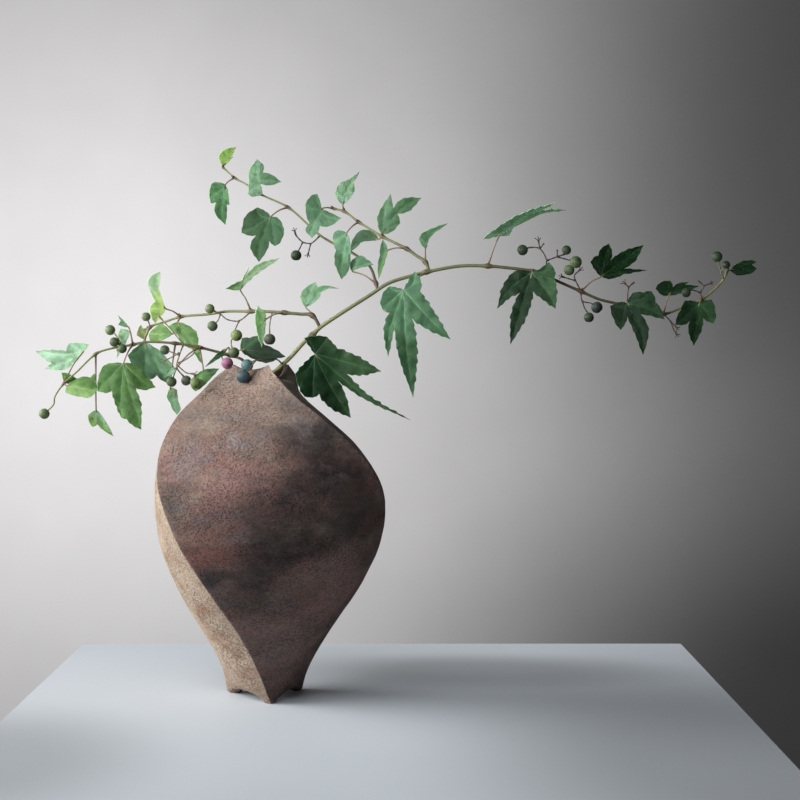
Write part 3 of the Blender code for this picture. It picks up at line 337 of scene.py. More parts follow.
SHOOTS = [
    Shoot("main_stem",
          [(-40, 4, 58), (-26, -4, 165), (-13, -7, 205), (-2, -7, 232), (6, -5, 243.5),
           (11, -4, 248.5), (19, -4, 256), (29, -6, 267), (35, -7, 272), (41, -8, 278),
           (59, -12, 290), (78, -14, 302), (92, -16, 311), (107, -18, 316), (123, -20, 320),
           (146, -22, 324), (167, -24, 324), (188, -23, 322), (201, -22, 320), (214, -20, 315),
           (230, -16, 308), (237, -14, 305), (251, -11, 299), (268, -5, 295), (285, -2, 290),
           (299, 0, 288), (311, 3, 292), (328, 5, 299), (344, 8, 314), (348, 8, 326)],
          2.0, 0.8, ("olive", "olive", "straw", "straw", "olive", "olive", "brown", "olive", "straw"),
          MAIN_LEAVES, []),
    Shoot("upper_shoot",
          [(123, -20, 320), (120, -17, 327), (113, -13, 332), (106, -10, 337), (88, -2, 346),
           (70, 6, 357), (59, 10, 365), (51, 12, 367)],
          1.2, 0.7, ("olive", "olive", "straw", "straw"), UPPER_LEAVES, []),
    Shoot("thin_shoot",
          [(84, -15, 306), (83, -10, 311), (78, 2, 324), (65, 12, 334), (51, 18, 341), (41, 20, 347),
           (32, 24, 355), (17, 28, 368), (-4, 32, 378), (-14, 34, 385), (-23, 36, 390),
           (-32, 38, 398)],
          1.1, 0.6, ("brown", "olive", "straw", "straw", "young"), THIN_LEAVES, []),
    Shoot("left_branch",
          [(41, -8, 278), (35, -4, 287), (26, -1, 288), (14, 2, 289), (-1, 6, 290), (-11, 8, 290),
           (-29, 12, 290), (-42, 13, 288), (-64, 16, 286), (-76, 18, 282), (-87, 20, 278),
           (-92, 22, 266)],
          1.3, 0.8, ("twig", "olive", "straw", "straw", "young", "young"), LEFT_LEAVES, []),
    Shoot("low_stem",
          [(38, 2, 60), (16, 5, 175), (6, 6, 213), (-6, 6, 237), (-17, 5, 253), (-27, 5, 257),
           (-38, 2, 260), (-50, -4, 263), (-68, -10, 266), (-90, -16, 267), (-100, -18, 265),
           (-117, -22, 262), (-128, -24, 258), (-143, -28, 244), (-152, -30, 236),
           (-159, -32, 226), (-160, -32, 220), (-166, -32, 214)],
          1.7, 0.6, ("olive", "olive", "olive", "olive", "brown", "tan", "straw", "young", "young"),
          LOW_LEAVES, [(-167, -32, 213, 3.9, "berry_green")]),
]

SPRAYS = [
    Spray("spray_thin_shoot", "twig",
          [[(41, 20, 347), (37, 19, 343), (34, 19, 341), (28, 20, 342), (23, 20, 347), (22, 20, 350)],
           [(28, 20, 342), (25, 20, 336), (23, 20, 334)], [(34, 19, 341), (32, 18, 333)]],
          [(23, 20, 332, 4.1, "berry_moss")]),
    Spray("spray_main_a", "twig",
          [[(208, -21, 317.5), (211, -18, 328), (206, -16, 337), (199, -15, 338), (195, -14, 337)],
           [(206, -16, 337), (205, -17, 343)], [(206, -16, 337), (209, -15, 341)],
           [(211, -18, 328), (219, -16, 331), (225, -13, 333)], [(219, -16, 331), (219, -14, 336)],
           [(219, -16, 331), (231, -14, 327), (229, -11, 324)]],
          [(193, -14, 336, 4.0, "berry_moss"), (226, -12, 336, 3.5, "berry_moss"),
           (233, -17, 327, 4.5, "berry_olive"), (228, -10, 321, 4.0, "berry_olive")]),
    Spray("spray_main_b", "twig",
          [[(237, -14, 305), (233, -15, 313), (232, -16, 317), (236, -17, 321)],
           [(233, -15, 313), (223, -18, 316)]], []),
    Spray("spray_main_c", "twig",
          [[(237, -14, 305), (238, -13, 298), (245, -14, 296), (248, -14, 294)],
           [(238, -13, 298), (240, -12, 292), (243, -12, 288)]],
          [(249, -14, 293, 4.3, "berry_plum"), (243, -12, 285.5, 3.8, "berry_moss")]),
    Spray("spray_main_d", "twig",
          [[(272, -4.3, 293.8), (272, 0, 301), (273, 1, 308), (277, 2, 312)],
           [(273, 1, 308), (270, 0, 311)]], []),
    Spray("spray_main_e", "twig",
          [[(299, 0, 288), (304, -4, 283), (307, -5, 276), (309, -5, 273)],
           [(304, -4, 283), (309, -5, 278)]], []),
    Spray("spray_main_f", "twig",
          [[(328, 5, 299), (327, 6, 304), (329, 6, 309), (325, 7, 313)], [(329, 6, 309), (334, 6, 311)],
           [(327, 6, 304), (321, 4, 306), (318, 2, 305)]],
          [(316, 2, 304, 3.5, "berry_moss")]),
    Spray("spray_tip", "olive",
          [[(344, 8, 314), (342, 7, 320), (340, 7, 327), (339, 7, 329)], [(342, 7, 320), (346, 3, 324)]],
          [(339, 8, 331, 4.1, "berry_moss"), (346, 2, 325, 3.0, "berry_moss")]),
    Spray("spray_left_a", "tan",
          [[(-11, 8, 290), (-20, 4, 283), (-29, 2, 284), (-34, 1, 288), (-40, 0, 291)],
           [(-34, 1, 288), (-36, 2, 283), (-39, 2, 280)], [(-20, 4, 283), (-23, -2, 276), (-23, -5, 273)],
           [(-23, -2, 276), (-26, -6, 267), (-25, -8, 261)]],
          [(-42, 0, 292, 3.6, "berry_green"), (-40, 2, 279, 3.9, "berry_olive"),
           (-22, -6, 272, 4.3, "berry_lime"), (-24, -8, 259, 4.1, "berry_olive")]),
    Spray("spray_left_b", "tan",
          [[(5, 5, 290), (3, 3, 280), (3, 2, 272)]], [(3, 2, 269, 4.3, "berry_grey")]),
    Spray("spray_left_c", "tan",
          [[(-87, 20, 278), (-88, 16, 282), (-90, 12, 285)]], [(-90, 12, 286, 3.5, "berry_green")]),
    Spray("spray_mouth_left", "brown",
          [[(-27, 5, 257), (-32, -2, 257), (-33, -9, 255), (-30, -13, 252)]],
          [(-29, -15, 251, 4.4, "berry_violet")]),
    Spray("spray_mouth_front", "brown",
          [[(13, -4, 250), (8, -12, 254), (0, -20, 254), (-8, -23, 253), (-13, -21, 251)],
           [(-8, -23, 253), (-12, -24, 247), (-16, -23, 243)]],
          [(-14, -20, 249.5, 4.5, "berry_blue"), (-17, -22, 241, 5.0, "berry_slate")]),
    Spray("spray_low_a", "tan",
          [[(-62, -8, 265), (-65, -14, 257), (-67, -13, 248), (-61, -10, 240)],
           [(-65, -14, 257), (-75, -10, 261)], [(-67, -13, 248), (-70, -13, 240)],
           [(-67, -13, 250), (-60, -13, 244), (-54, -14, 243)],
           [(-57, -6, 264), (-54, -11, 259), (-60, -12, 254), (-66, -13, 251)],
           [(-65, -14, 259), (-70, -14, 256), (-76, -13, 253)],
           [(-62, -8, 265), (-70, -2, 275), (-80, 4, 286)]],
          [(-76, -9, 261, 3.6, "berry_olive"), (-71, -13, 237, 3.8, "berry_olive"),
           (-60, -9, 238, 3.8, "berry_grey"), (-53, -19, 236, 3.8, "berry_lime")]),
    Spray("spray_low_b", "tan",
          [[(-108, -20, 264), (-112, -20, 271), (-115, -18, 275)], [(-106, -20, 264), (-111, -24, 266)]],
          [(-117, -17, 276, 3.8, "berry_green"), (-114, -25, 267, 3.5, "berry_olive"),
           (-108, -26, 262, 3.4, "berry_olive")]),
]
BARK, GREEN, SKIN = range(3)     # the plant's materials
SPECKLED = ("berry_blue", "berry_slate", "berry_violet", "berry_grey")

draws = np.random.default_rng(SEED)


# Points and colours

def linear(tone):
    """A tone's colour as light adds up, with full opacity."""
    share = np.array(TONES[tone] if isinstance(tone, str) else tone) / 255.0
    return np.append(np.where(share <= 0.04045, share / 12.92, ((share + 0.055) / 1.055) ** 2.4), 1.0)


def place(points):
    """Points of the vase's mid plane, each carried along its line of sight to its own depth, in metres."""
    points = np.asarray(points, float)
    placed = EYE + (points - EYE) * ((points[..., 1:2] - EYE[1]) / -EYE[1])
    placed[..., 1] = points[..., 1]
    return placed * MM


def curve_between(start, end, leaving, arriving, t):
    """The smooth curve from start to end at shares t, with its slopes there."""
    return ((2 * t ** 3 - 3 * t ** 2 + 1) * start + (3 * t ** 2 - 2 * t ** 3) * end
            + (t ** 3 - 2 * t ** 2 + t) * leaving + (t ** 3 - t ** 2) * arriving)


def smooth_line(points, step):
    """Points every step or so along a smooth curve through the given ones."""
    points = np.asarray(points, float)
    lengths = np.linalg.norm(np.diff(points, axis=0), axis=1)
    tangents = np.empty_like(points)
    tangents[1:-1] = (points[2:] - points[:-2]) / (lengths[1:] + lengths[:-1])[:, None]
    tangents[0] = (points[1] - points[0]) / lengths[0]
    tangents[-1] = (points[-1] - points[-2]) / lengths[-1]
    line = []
    for i, length in enumerate(lengths):
        count = max(int(round(length / step)), 1)
        t = (np.arange(count) / count)[:, None]
        line.append(curve_between(points[i], points[i + 1], tangents[i] * length,
                                  tangents[i + 1] * length, t))
    return np.vstack(line + [points[-1:]])


def blend(shares, tones):
    """Colours for shares from 0 to 1 along a row of evenly spaced tones."""
    stops = np.linspace(0.0, 1.0, len(tones))
    table = np.array([linear(tone) for tone in tones])
    return np.stack([np.interp(shares, stops, table[:, k]) for k in range(4)], axis=-1)


def mix(first, second, share):
    share = np.asarray(share, float)[..., None]
    return first * (1.0 - share) + second * share


def new_object(name, data):
    item = bpy.data.objects.new(name, data)
    bpy.context.scene.collection.objects.link(item)
    return item


class Shape:
    """Points, faces and colours of one piece, gathered bit by bit."""

    def __init__(self):
        self.points, self.faces, self.slots, self.tints, self.specks = [], [], [], [], []

    def add(self, points, faces, tints, slot, speck=0.0):
        start = len(self.points)
        self.points += [tuple(point) for point in points]
        self.faces += [tuple(start + i for i in face) for face in faces]
        self.slots += [slot] * len(faces)
        self.tints += [tuple(tint) for tint in np.broadcast_to(tints, (len(points), 4))]
        self.specks += list(np.broadcast_to(speck, (len(points),)))

    def add_tube(self, line, radii, sides, tints, slot):
        """A tube along a line in metres, its radii in millimetres and its tints given along it."""
        points, faces, owner = tube(line, radii * MM, sides)
        self.add(points, faces, tints[owner], slot)

    def finish(self, name, materials, sharp=50.0):
        mesh = bpy.data.meshes.new(name)
        mesh.from_pydata(np.array(self.points) - FRONT_FOOT * MM, [], self.faces)
        for material in materials:
            mesh.materials.append(material)
        mesh.polygons.foreach_set("material_index", self.slots)
        tint = mesh.color_attributes.new("tint", "FLOAT_COLOR", "POINT")
        tint.data.foreach_set("color", np.array(self.tints, np.float32).ravel())
        speck = mesh.attributes.new("speck", "FLOAT", "POINT")
        speck.data.foreach_set("value", np.array(self.specks, np.float32))
        mesh.shade_smooth()
        mesh.set_sharp_from_angle(angle=math.radians(sharp))
        mesh.validate()
        return new_object(name, mesh)


def ring_faces(count, sides):
    """Faces over rings of points, with a fan to one more point at the first ring and at the last."""
    faces = [(i * sides + k, i * sides + (k + 1) % sides, (i + 1) * sides + (k + 1) % sides,
              (i + 1) * sides + k) for i in range(count - 1) for k in range(sides)]
    start, end, last = count * sides, count * sides + 1, (count - 1) * sides
    faces += [(start, (k + 1) % sides, k) for k in range(sides)]
    faces += [(end, last + k, last + (k + 1) % sides) for k in range(sides)]
    return faces


def tube(line, radii, sides):
    """Points and faces of a closed round tube along a line, all in metres, and each point's ring."""
    ahead = np.gradient(line, axis=0)
    ahead /= np.linalg.norm(ahead, axis=1)[:, None]
    across = np.array(Vector(ahead[0]).orthogonal().normalized())
    angles = 2 * np.pi * np.arange(sides) / sides
    rings = []
    for centre, along, radius in zip(line, ahead, radii):
        across = across - along * across.dot(along)
        across /= np.linalg.norm(across)
        beside = np.cross(along, across)
        rings.append(centre + radius * (np.outer(np.cos(angles), across) + np.outer(np.sin(angles), beside)))
    points = np.vstack(rings + [line[:1], line[-1:]])
    owner = np.append(np.repeat(np.arange(len(line)), sides), [0, len(line) - 1])
    return points, ring_faces(len(line), sides), owner


# Leaves

def blade_sides(corners):
    """The sides of a blade from its base round to its base."""
    stops = [Vector((0.0, 0.0))] + [Vector(corner[:2]) for corner in corners]
    area = sum(a.x * b.y - b.x * a.y for a, b in zip(stops, stops[1:]))
    turn = 1.0 if area > 0 else -1.0
    sides = []
    for start, end, corner in zip(stops, stops[1:], corners):
        ahead = (end - start).normalized()
        sides.append(Side(start, end, Vector((ahead.y, -ahead.x)) * turn, corner[2]))
    return sides


def side_line(side, towards_tip, size, fullness):
    """Points between two corners of a blade's edge: a bowed line with forward-pointing teeth."""
    length = (side.end - side.start).length
    if length < SHORT_EDGE:
        return []
    count = max(int(round(length / TOOTH_PITCH)), 1)
    small = size * min(length / (3 * TOOTH_PITCH), 1.0)
    points = []
    by_place, by_number = TOOTH_VARIETY
    for k in range(count):
        variety = math.sin(by_place * side.start.x + by_number * k)
        depth = TOOTH_DEPTH * small * (1.0 + TOOTH_SPREAD * variety)
        for share, height in TOOTH_SHAPE:
            t = (k + share) / (count + END_MARGIN)      # from the notch to the tip
            swell = side.bow * math.sin(math.pi * t ** FULLEST) ** ROUNDNESS
            swell += depth * height * min((1.0 - t) * TOOTH_FADE, 1.0)
            along = t if towards_tip else 1.0 - t
            points.append(side.start.lerp(side.end, along) + side.outward * (swell * fullness))
    return points if towards_tip else points[::-1]


def crossing_sides(edge, owners):
    """The sides of an outline that cross each other."""
    found = set()
    count = len(edge)
    for i in range(count - 1):
        for j in range(i + 2, count - (i == 0)):
            if geometry.intersect_line_line_2d(edge[i], edge[i + 1], edge[j], edge[(j + 1) % count]):
                found |= {owners[i], owners[j]}
    return found


def blade_edge(sides, size):
    """The whole edge of a blade. Sides that would cross each other are made less full until they clear."""
    fullness = [1.0] * len(sides)
    for _ in range(FULLNESS_ROUNDS):
        edge, owners = [], []
        for i, side in enumerate(sides):
            line = [side.start] + side_line(side, i % 2 == 0, size, fullness[i])
            edge += line
            owners += [i] * len(line)
        crossing = crossing_sides(edge, owners)
        if not crossing:
            break
        for i in crossing:
            fullness[i] *= FULLNESS_STEP
    return np.array(edge)


def inside(points, edge):
    """Which points lie inside a closed outline."""
    x, y = points[:, 0:1], points[:, 1:2]
    ax, ay = edge[:, 0], edge[:, 1]
    bx, by = np.roll(ax, -1), np.roll(ay, -1)
    rise = np.where(by == ay, TINY, by - ay)
    crossed = ((ay > y) != (by > y)) & (x < (bx - ax) * (y - ay) / rise + ax)
    return crossed.sum(axis=1) % 2 == 1


def main_veins(sides):
    """A line from the base to each long tip, through the throat and along the middle of the lobe."""
    veins = []
    for up, down in zip(sides[0::2], sides[1::2]):
        tip = np.array(up.end)
        if up.end.length < SHORT_LOBE:
            continue
        throat = (np.array(up.start) + np.array(down.end)) / 2
        lean = (np.array(up.outward) * up.bow + np.array(down.outward) * down.bow) / 2
        t = np.linspace(0.0, VEIN_END, max(int(up.end.length / MESH_STEP), VEIN_POINTS))[:, None]
        veins.append(2 * t * (1 - t) * throat + t ** 2 * tip + np.sin(np.pi * t ** 2) * lean)
    return veins


def nearest_vein(points, veins):
    """Distance from each point to the nearest main vein, and how far along that vein it lies."""
    best, along = np.full(len(points), NO_VEIN), np.zeros(len(points))
    for vein in veins:
        start, step = vein[:-1], np.diff(vein, axis=0)
        lengths = np.linalg.norm(step, axis=1)
        reached = np.concatenate([[0.0], np.cumsum(lengths)[:-1]])
        offset = points[:, None, :] - start
        share = np.clip((offset * step).sum(-1) / np.maximum(lengths ** 2, TINY), 0.0, 1.0)
        gap = np.linalg.norm(offset - share[..., None] * step, axis=-1)
        pick = gap.argmin(axis=1)
        rows = np.arange(len(points))
        nearer = gap[rows, pick] < best
        best = np.where(nearer, gap[rows, pick], best)
        along = np.where(nearer, (reached + share * lengths)[rows, pick], along)
    return best, along


def side_swell(gap, along):
    """How far the blade swells between two side veins, from nothing at a side vein to one."""
    return np.abs(np.sin(np.pi * (along - SIDE_VEIN_SLANT * gap) / SIDE_VEIN_PITCH))


def sheet_normals(points, faces):
    """A unit normal at each point of a sheet of triangles, on the side that faces the camera."""
    corners = points[faces]
    face_normals = np.cross(corners[:, 1] - corners[:, 0], corners[:, 2] - corners[:, 0])
    normals = np.zeros_like(points)
    for k in range(3):
        np.add.at(normals, faces[:, k], face_normals)
    lengths = np.linalg.norm(normals, axis=1)[:, None]
    normals /= np.where(lengths > 0, lengths, 1.0)
    towards_eye = np.sign((normals * (EYE * MM - points)).sum(axis=1)).sum()
    return -normals if towards_eye < 0 else normals


class Blade:
    """One leaf's form: its edge, its veins and the depth of its surface."""

    def __init__(self, leaf):
        self.leaf = leaf
        sides = blade_sides(leaf.edge)
        self.reach = max(side.end.length for side in sides)
        self.size = min(max(self.reach / LARGE_LEAF, LEAST_SIZE), 1.0)
        self.edge = blade_edge(sides, self.size)
        self.veins = main_veins(sides)
        self.phase = draws.uniform(0.0, LAST_PHASE)

    def surface(self, points):
        """Points of the blade in metres, from places across and up from its base."""
        leaf = self.leaf
        away = np.linalg.norm(points, axis=1)
        gap, along = nearest_vein(points, self.veins)
        depth = leaf.base[1] + points @ np.array(leaf.slope) + CURL * away ** 2 / self.reach
        depth -= VEIN_DEPTH * self.size * (1.0 - np.exp(-gap / (VEIN_WIDTH * self.size)))
        margin = np.minimum(gap / WAVE_ROOM, 1.0)
        depth += WAVE * self.size * margin * np.sin(2 * np.pi * along / WAVE_LENGTH + self.phase)
        depth -= QUILT * self.size * side_swell(gap, along) * np.minimum(gap / QUILT_ROOM, 1.0)
        for size, height in CRUMPLE:
            depth += height * self.size * np.array(
                [noise.noise(Vector((x / size, z / size, self.phase))) for x, z in points])
        return place(np.column_stack([leaf.base[0] + points[:, 0], depth, leaf.base[2] + points[:, 1]]))

    def tones(self, points):
        """Front and far colours of the blade at places across and up from its base, partly painted light."""
        first, second, direction, meeting, far = self.leaf.tones
        heading = np.array([math.cos(math.radians(direction)), math.sin(math.radians(direction))])
        # Where the two tones meet; partly painted light, a darker half standing in for a fold's shade and
        # paler tones partly for sheen
        share = np.clip(0.5 + (points @ heading - meeting) / (TONE_BLEND * self.reach), 0.0, 1.0)
        front = mix(linear(first), linear(second), share * share * (3 - 2 * share))
        gap, along = nearest_vein(points, self.veins)
        near_vein = np.exp(-(gap / (RIB_BAND * self.size)) ** 2)
        # Painted shade in the furrows along the side veins
        shade = 1.0 - FURROW_PAINTED_SHADE * (1.0 - side_swell(gap, along)) ** 2 * (1.0 - near_vein)
        lighter = (1.0 + RIB_LIGHTER * near_vein)[:, None]
        return front * shade[:, None] * lighter, linear(far) * lighter

    def inner_points(self):
        """A net of points inside the blade, clear of its edge and its veins."""
        low, high = self.edge.min(axis=0), self.edge.max(axis=0)
        xs = np.arange(low[0], high[0], MESH_STEP)
        ys = np.arange(low[1], high[1], MESH_STEP * ROW_STEP)
        grid = np.array([(x + (row % 2) * MESH_STEP / 2, y) for row, y in enumerate(ys) for x in xs])
        grid = grid.reshape(-1, 2)
        grid = grid[inside(grid, self.edge)]
        fixed = np.vstack([self.edge] + self.veins)
        gaps = np.linalg.norm(grid[:, None] - fixed, axis=-1).min(axis=1)
        return grid[gaps > MESH_STEP * LINE_GAP]

    def add_sheet(self, shape):
        """Both faces and the rim of the blade."""
        spots = [Vector(point) for point in self.edge]
        links = [(i, (i + 1) % len(spots)) for i in range(len(spots))]
        for vein in self.veins:
            kept = vein[inside(vein, self.edge)]
            links += [(len(spots) + i, len(spots) + i + 1) for i in range(len(kept) - 1)]
            spots += [Vector(point) for point in kept]
        spots += [Vector(point) for point in self.inner_points()]
        flat, _, faces, _, _, _ = geometry.delaunay_2d_cdt(spots, links, [], 1, MERGED)
        flat = np.array([tuple(spot) for spot in flat])
        faces = [face for face in faces if len(face) == 3]
        middle = self.surface(flat)
        offset = sheet_normals(middle, np.array(faces)) * (BLADE / 2 * MM)
        front, back = self.tones(flat)
        count = len(flat)
        skin = list(faces) + [tuple(count + i for i in reversed(face)) for face in faces]
        sides = {(i, j) for face in faces for i, j in zip(face, face[1:] + face[:1])}
        skin += [(j, i, count + i, count + j) for i, j in sorted(sides) if (j, i) not in sides]
        shape.add(np.vstack([middle + offset, middle - offset]), skin, np.vstack([front, back]), GREEN)

    def add_ribs(self, shape):
        """Raised main and side ribs that follow the surface."""
        for vein in self.veins:
            kept = vein[inside(vein, self.edge) | (np.linalg.norm(vein, axis=1) < TINY)]
            if len(kept) < 3:
                continue
            self.add_rib(shape, kept, MAIN_RIB)
            lengths = np.concatenate([[0.0], np.cumsum(np.linalg.norm(np.diff(kept, axis=0), axis=1))])
            for start in np.arange(SIDE_VEIN_PITCH, lengths[-1] - BARE_TIP, SIDE_VEIN_PITCH):
                root = np.array([np.interp(start, lengths, kept[:, k]) for k in range(2)])
                ahead = np.array([np.interp(start + 1.0, lengths, kept[:, k]) for k in range(2)]) - root
                ahead /= max(np.linalg.norm(ahead), TINY)
                for turn in (-1.0, 1.0):
                    line = self.side_vein(root, ahead, turn)
                    if len(line) > 2:
                        self.add_rib(shape, line, SIDE_RIB)

    def side_vein(self, root, ahead, turn):
        """A line out from a main vein, up to the edge or to where another main vein is nearer."""
        beside = np.array([-ahead[1], ahead[0]]) * turn
        reach = np.arange(0.0, SIDE_VEIN_REACH, MESH_STEP)[:, None]
        line = root + reach * beside + SIDE_VEIN_SLANT * reach * ahead
        gap, _ = nearest_vein(line, self.veins)
        good = inside(line, self.edge) & (gap >= reach[:, 0] * SIDE_VEIN_SHARE)
        good[0] = True
        return line if good.all() else line[:np.argmin(good)]

    def add_rib(self, shape, line, radii):
        share = np.linspace(0.0, 1.0, len(line))
        radius = np.maximum((radii[0] + (radii[1] - radii[0]) * share) * math.sqrt(self.size), BLADE / 2)
        tints = mix(*self.tones(line), RIB_FAR_TONE) * (1.0 + RIB_LIGHTER)
        shape.add_tube(self.surface(line), radius, RIB_SIDES, tints, GREEN)


def leaf_stalk(leaf):
    """The stalk's line: from the middle of the stem to a little way inside the blade."""
    middle = np.mean(leaf.edge[0::2], axis=0)[:2]
    middle *= max(STALK_REACH, LEAST_REACH / np.linalg.norm(middle))
    reached = (leaf.base[0] + middle[0], leaf.base[1] + float(np.dot(leaf.slope, middle)),
               leaf.base[2] + middle[1])
    root, base, end = place([leaf.root, leaf.base, reached])
    length = np.linalg.norm(base - root)
    points = [root, base]
    if length > SHORT_STALK * MM:
        points.insert(1, (root + base) / 2 + np.array([0.0, 0.0, STALK_ARCH * length]))
    last, turn = base - points[-2], end - base
    if last.dot(turn) > SHARPEST_BEND * np.linalg.norm(last) * np.linalg.norm(turn):
        points.append(end)
    return smooth_line(points, STEP * MM)


# Stems, sprays and berries

def add_stem(shape, shoot):
    line = smooth_line(place(shoot.path), STEP * MM)
    share = np.linspace(0.0, 1.0, len(line))
    radii = shoot.start_radius + (shoot.end_radius - shoot.start_radius) * share
    near = np.zeros(len(line))
    for leaf in shoot.leaves:
        away = np.linalg.norm(line - place(leaf.root), axis=1) / MM
        near = np.maximum(near, np.exp(-(away / NODE_LENGTH) ** 2))
    radii = radii * (1.0 + NODE_SWELL * near)
    tints = mix(blend(share, shoot.bark), linear("joint"), NODE_TONE * near)
    shape.add_tube(line, radii, STEM_SIDES, tints, BARK)


def add_bud(shape, root, towards):
    """A small pointed bud in the corner between a stem and a leaf stalk."""
    length, radius = BUD
    t = np.linspace(0.0, 1.0, BUD_RINGS)
    line = root + np.outer(t * length * MM, towards)
    radii = radius * np.sin(np.pi * (BUD_START + (1.0 - BUD_START) * t)) ** BUD_FULLNESS
    shape.add_tube(line, radii, STALK_SIDES, blend(t, ("joint", "joint", "pink")), BARK)


def add_stalk(shape, leaf):
    line = leaf_stalk(leaf)
    share = np.linspace(0.0, 1.0, len(line))
    radii = np.interp(share, np.linspace(0.0, 1.0, len(STALK_RADII)), STALK_RADII)
    shape.add_tube(line, radii, STALK_SIDES, blend(share, ("joint", "pink", "pink", "straw")), BARK)
    away = line[min(3, len(line) - 1)] - line[0]
    towards = away / np.linalg.norm(away) + np.array([0.0, 0.0, BUD_RISE])
    add_bud(shape, line[0], towards / np.linalg.norm(towards))


def add_berry(shape, centre, radius, hang, tone):
    """A berry with a dimple and a scar opposite its stalk. hang points from the stalk to the berry."""
    axis = hang / np.linalg.norm(hang)
    across = np.array(Vector(axis).orthogonal().normalized())
    beside = np.cross(axis, across)
    polar = np.pi * np.arange(1, BERRY_RINGS) / BERRY_RINGS
    around = 2 * np.pi * np.arange(BERRY_SIDES) / BERRY_SIDES
    dimple = np.ones(len(polar))
    for (depth, width), angle in ((BERRY_DIMPLE, np.pi - polar), (STALK_DIMPLE, polar)):
        dimple -= depth * np.exp(-(angle / width) ** 2)
    rings = []
    for angle, size in zip(polar, dimple):
        ring = np.outer(np.cos(around), across) + np.outer(np.sin(around), beside)
        rings.append(centre + radius * size * (ring * math.sin(angle) - axis * math.cos(angle)))
    ends = [centre - axis * radius * BERRY_ENDS[0], centre + axis * radius * BERRY_ENDS[1]]
    points = np.vstack(rings + [ends])
    bloom = mix(linear(tone), linear("mint"), BLOOM * (1.0 + np.cos(polar)))
    scar = np.exp(-((np.pi - polar) / SCAR_WIDTH) ** 2)
    tints = np.repeat(mix(bloom, linear("scar"), scar), BERRY_SIDES, axis=0)
    tints = np.vstack([tints, linear("tan"), linear("scar")])
    specks = 1.0 if tone in SPECKLED else PLAIN_SPECKS
    shape.add(points, ring_faces(len(rings), BERRY_SIDES), tints, SKIN, specks)


def add_twig(shape, line, radius, tone):
    """A knobbly little stalk, thicker at both ends."""
    smooth = smooth_line(line, STEP * TWIG_STEP * MM)
    share = np.linspace(0.0, 1.0, len(smooth))
    ends = np.exp(-(share / TWIG_END) ** 2) + np.exp(-((1.0 - share) / TWIG_END) ** 2)
    middle, swell, knob = TWIG_SWELL
    radii = radius * (middle + swell * ends + knob * np.sin(share * len(smooth) * KNOB_TURN))
    tints = mix(linear(tone), linear("joint"), TWIG_END_TONE * np.minimum(ends, 1.0))
    shape.add_tube(smooth, radii, TWIG_SIDES, tints, BARK)


def add_pedicels(shape, end, ahead, tone):
    """Bare forked ends where berries have dropped off."""
    for turn in PEDICEL_TURNS:
        spread = np.array([math.cos(turn) * ahead[0] - math.sin(turn) * ahead[2],
                           ahead[1] + draws.uniform(*PEDICEL_LEAN),
                           math.sin(turn) * ahead[0] + math.cos(turn) * ahead[2]])
        spread /= np.linalg.norm(spread)
        tip = end + spread * (PEDICEL * draws.uniform(*PEDICEL_SPREAD) * MM)
        add_twig(shape, [end, (end + tip) / 2, tip], TWIG_RADIUS * PEDICEL_RADIUS, tone)


def make_shoot(shoot, materials):
    shape = Shape()
    add_stem(shape, shoot)
    for leaf in shoot.leaves:
        add_stalk(shape, leaf)
        blade = Blade(leaf)
        blade.add_sheet(shape)
        blade.add_ribs(shape)
    for x, y, z, radius, tone in shoot.berries:
        before, end = place(shoot.path[-2:])
        add_berry(shape, place((x, y, z)), radius * MM, end - before, tone)
    return shape.finish(shoot.name + "_fine", materials)


def make_spray(spray, materials):
    shape = Shape()
    lines = [place(line) for line in spray.lines]
    centres = [place(berry[:3]) for berry in spray.berries]
    for line in lines:
        add_twig(shape, line, TWIG_RADIUS, spray.bark)
        forks = [other[0] for other in lines if other is not line]
        near = [np.linalg.norm(line[-1] - point) for point in centres + forks]
        if min(near, default=1.0) > BERRY_NEAR * MM:
            ahead = line[-1] - line[-2]
            add_pedicels(shape, line[-1], ahead / np.linalg.norm(ahead), spray.bark)
    for centre, (_, _, _, radius, tone) in zip(centres, spray.berries):
        ends = [line[-1] for line in lines]
        nearest = min(ends, key=lambda end: np.linalg.norm(end - centre))
        gap = centre - nearest
        hang = gap if np.linalg.norm(gap) > HANGING * MM else np.array([0.0, 0.0, -1.0])
        add_twig(shape, [nearest, (nearest + centre) / 2, centre], TWIG_RADIUS, spray.bark)
        add_berry(shape, centre, radius * MM, hang, tone)
    return shape.finish(spray.name + "_fine", materials)


# Vase

def vase_row(height):
    """Corner distance, turn, bulge and lean at a height, on a smooth curve through the sections."""
    rows = VASE_SECTIONS
    i = max(k for k in range(len(rows) - 1) if rows[k][0] <= height or k == 0)
    before, low, high, after = rows[max(i - 1, 0)], rows[i], rows[i + 1], rows[min(i + 2, len(rows) - 1)]
    span = high[0] - low[0]
    t = (height - low[0]) / span
    values = []
    for k in range(1, 5):
        slope_low = (high[k] - before[k]) / (high[0] - before[0])
        slope_high = (after[k] - low[k]) / (after[0] - low[0])
        values.append(curve_between(low[k], high[k], span * slope_low, span * slope_high, t))
    return values


def side_shares():
    """Shares along one side, closer together near its corners."""
    even = np.arange(SIDE_POINTS) / SIDE_POINTS
    return even - CORNER_PACKING * np.sin(2 * np.pi * even) / (2 * np.pi)


